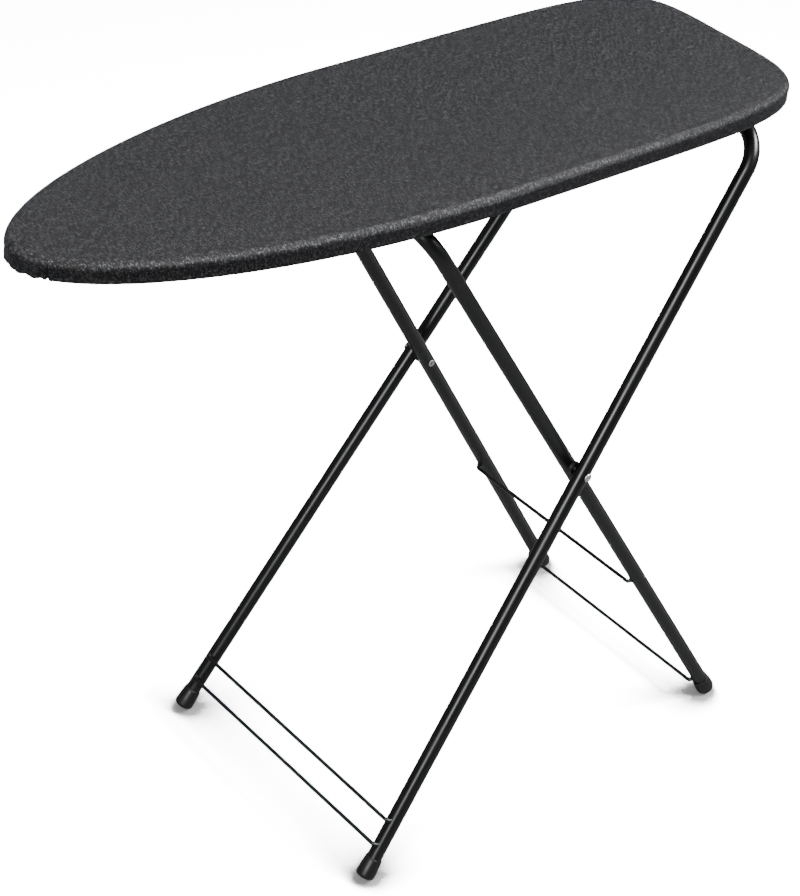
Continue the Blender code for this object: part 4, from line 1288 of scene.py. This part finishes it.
@dataclass
class Studio:
    """Pale floor, soft lights, white surroundings and the camera."""

    camera_place: tuple[float, float, float] = (-1.6695, -1.8284, 2.1830)
    azimuth: float = -43.0755
    elevation: float = 34.4732
    roll: float = 6.5173
    lens: float = 103.55
    floor_size: float = 9.0
    floor_tone: float = 0.18
    floor_seen: float = 11.5
    shade_tone: float = 0.4
    shade_reach: float = 0.16
    sky: float = 0.18
    sky_seen: float = 40.0

    def camera(self) -> None:
        """Camera from its heading, elevation and roll."""
        heading, rise, lean = (math.radians(v) for v in (self.azimuth, self.elevation, self.roll))
        right = Vector((math.cos(heading), math.sin(heading), 0))
        level = Vector((math.sin(heading), -math.cos(heading), 0))
        back = level * math.cos(rise) + Vector((0, 0, math.sin(rise)))
        up = back.cross(right)
        turned_right = right * math.cos(lean) + up * math.sin(lean)
        turned_up = up * math.cos(lean) - right * math.sin(lean)
        axes = Matrix((turned_right, turned_up, back)).transposed().to_4x4()
        lens = bpy.data.cameras.new("camera")
        lens.lens = self.lens
        lens.sensor_width = 36.0
        lens.clip_end = 60.0
        eye = bpy.data.objects.new("camera", lens)
        eye.matrix_world = Matrix.Translation(self.camera_place) @ axes
        bpy.context.scene.collection.objects.link(eye)
        bpy.context.scene.camera = eye

    def floor(self) -> None:
        """Matt floor: dark grey to the light that bounces off it, white to the camera, shaded at the feet."""
        half = self.floor_size / 2
        mesh = bpy.data.meshes.new("floor")
        corners = [(-half, -half, 0), (half, -half, 0), (half, half, 0), (-half, half, 0)]
        mesh.from_pydata(corners, [], [(0, 1, 2, 3)])
        floor = bpy.data.objects.new("floor", mesh)
        bpy.context.scene.collection.objects.link(floor)
        made = bpy.data.materials.new("pale_floor")
        made.use_nodes = True
        made.node_tree.nodes.clear()
        s = Shading(made.node_tree)
        plain = s.node("ShaderNodeBsdfDiffuse", {"Color": (self.floor_tone,) * 3 + (1.0,)})
        open_air = s.node("ShaderNodeAmbientOcclusion", {"Distance": self.shade_reach}).outputs["AO"]
        seen_tone = s.ramp(open_air, 0.78, 0.99, self.shade_tone, self.floor_seen)
        bright = s.node("ShaderNodeBsdfDiffuse", {"Color": seen_tone})
        seen = s.node("ShaderNodeLightPath").outputs["Is Camera Ray"]
        mixed = s.node("ShaderNodeMixShader", {0: seen, 1: plain.outputs[0], 2: bright.outputs[0]})
        s.node("ShaderNodeOutputMaterial", {"Surface": mixed.outputs[0]})
        mesh.materials.append(made)

    def lights(self) -> None:
        """Area lights and an even pale surround."""
        for box in Softbox:
            place, aim, size, power = box.value
            lamp = bpy.data.lights.new("softbox_" + box.name.lower(), "AREA")
            lamp.shape = "RECTANGLE"
            lamp.size, lamp.size_y = size
            lamp.energy = power
            holder = bpy.data.objects.new(lamp.name, lamp)
            holder.location = place
            holder.rotation_mode = "QUATERNION"
            holder.rotation_quaternion = (Vector(aim) - Vector(place)).to_track_quat("-Z", "Y")
            bpy.context.scene.collection.objects.link(holder)
        world = bpy.data.worlds.new("surround")
        world.use_nodes = True
        sky = world.node_tree.nodes["Background"]
        s = Shading(world.node_tree)
        seen = s.node("ShaderNodeLightPath").outputs["Is Camera Ray"]
        s.feed(sky.inputs["Strength"], s.ramp(seen, 0.0, 1.0, self.sky, self.sky_seen))
        sky.inputs["Color"].default_value = (1.0, 1.0, 1.0, 1.0)
        bpy.context.scene.world = world

    def build(self) -> None:
        """Everything that isn't the object."""
        self.camera()
        self.floor()
        self.lights()


def make_frames(workshop: Workshop) -> None:
    """Both tube frames, from the joints and the pieces that sit on their tubes."""
    places = {joint["name"]: Vector(joint["pos_m"]) for joint in frame["joints"]}
    hinge = next(place for place in places.values() if place.z > 0.6)
    cross = next(place for place in places.values() if place.z < 0.6)
    reach = TubeFrame.radius + 0.0005
    low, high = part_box("pivot_spacer_left")
    glide_low, glide_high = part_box("slot_glide_left")
    glide = (glide_low + glide_high) / 2
    outer = TubeFrame(workshop, "outer_frame", cross, (hinge.x, hinge.z), high.y + reach, bend=0.048)
    inner = TubeFrame(workshop, "inner_frame", cross, (glide.x, glide.z), low.y - reach, bend=0.052)
    outer.build()
    inner.build()


def main() -> None:
    """Build the studio, then every sub-assembly in order."""
    logging.basicConfig(level=logging.INFO, format="%(message)s")
    Studio().build()
    workshop = Workshop(Palette())
    plan = BoardPlan()
    cover = Cover(workshop, plan)
    cover.build()
    Padding(workshop, plan).build()
    hem = Hem(workshop, plan, cover)
    hem.elastic()
    hem.stitching()
    PressedTop(workshop, plan).build()
    pressed = PressedParts(workshop)
    for node in ("cross_rail_nose", "cross_rail_middle", "cross_rail_tail"):
        pressed.build(node, "paint")
    for word, _ in SIDES:
        pressed.build("guide_rail_" + word, "zinc")
        pressed.build("pivot_bracket_" + word, "zinc", 0.0006)
    workshop.palette.dress(frame["nodes"]["rim_band"], "paint")
    TurnedParts(workshop).build()
    make_frames(workshop)


if __name__ == "__main__":
    main()
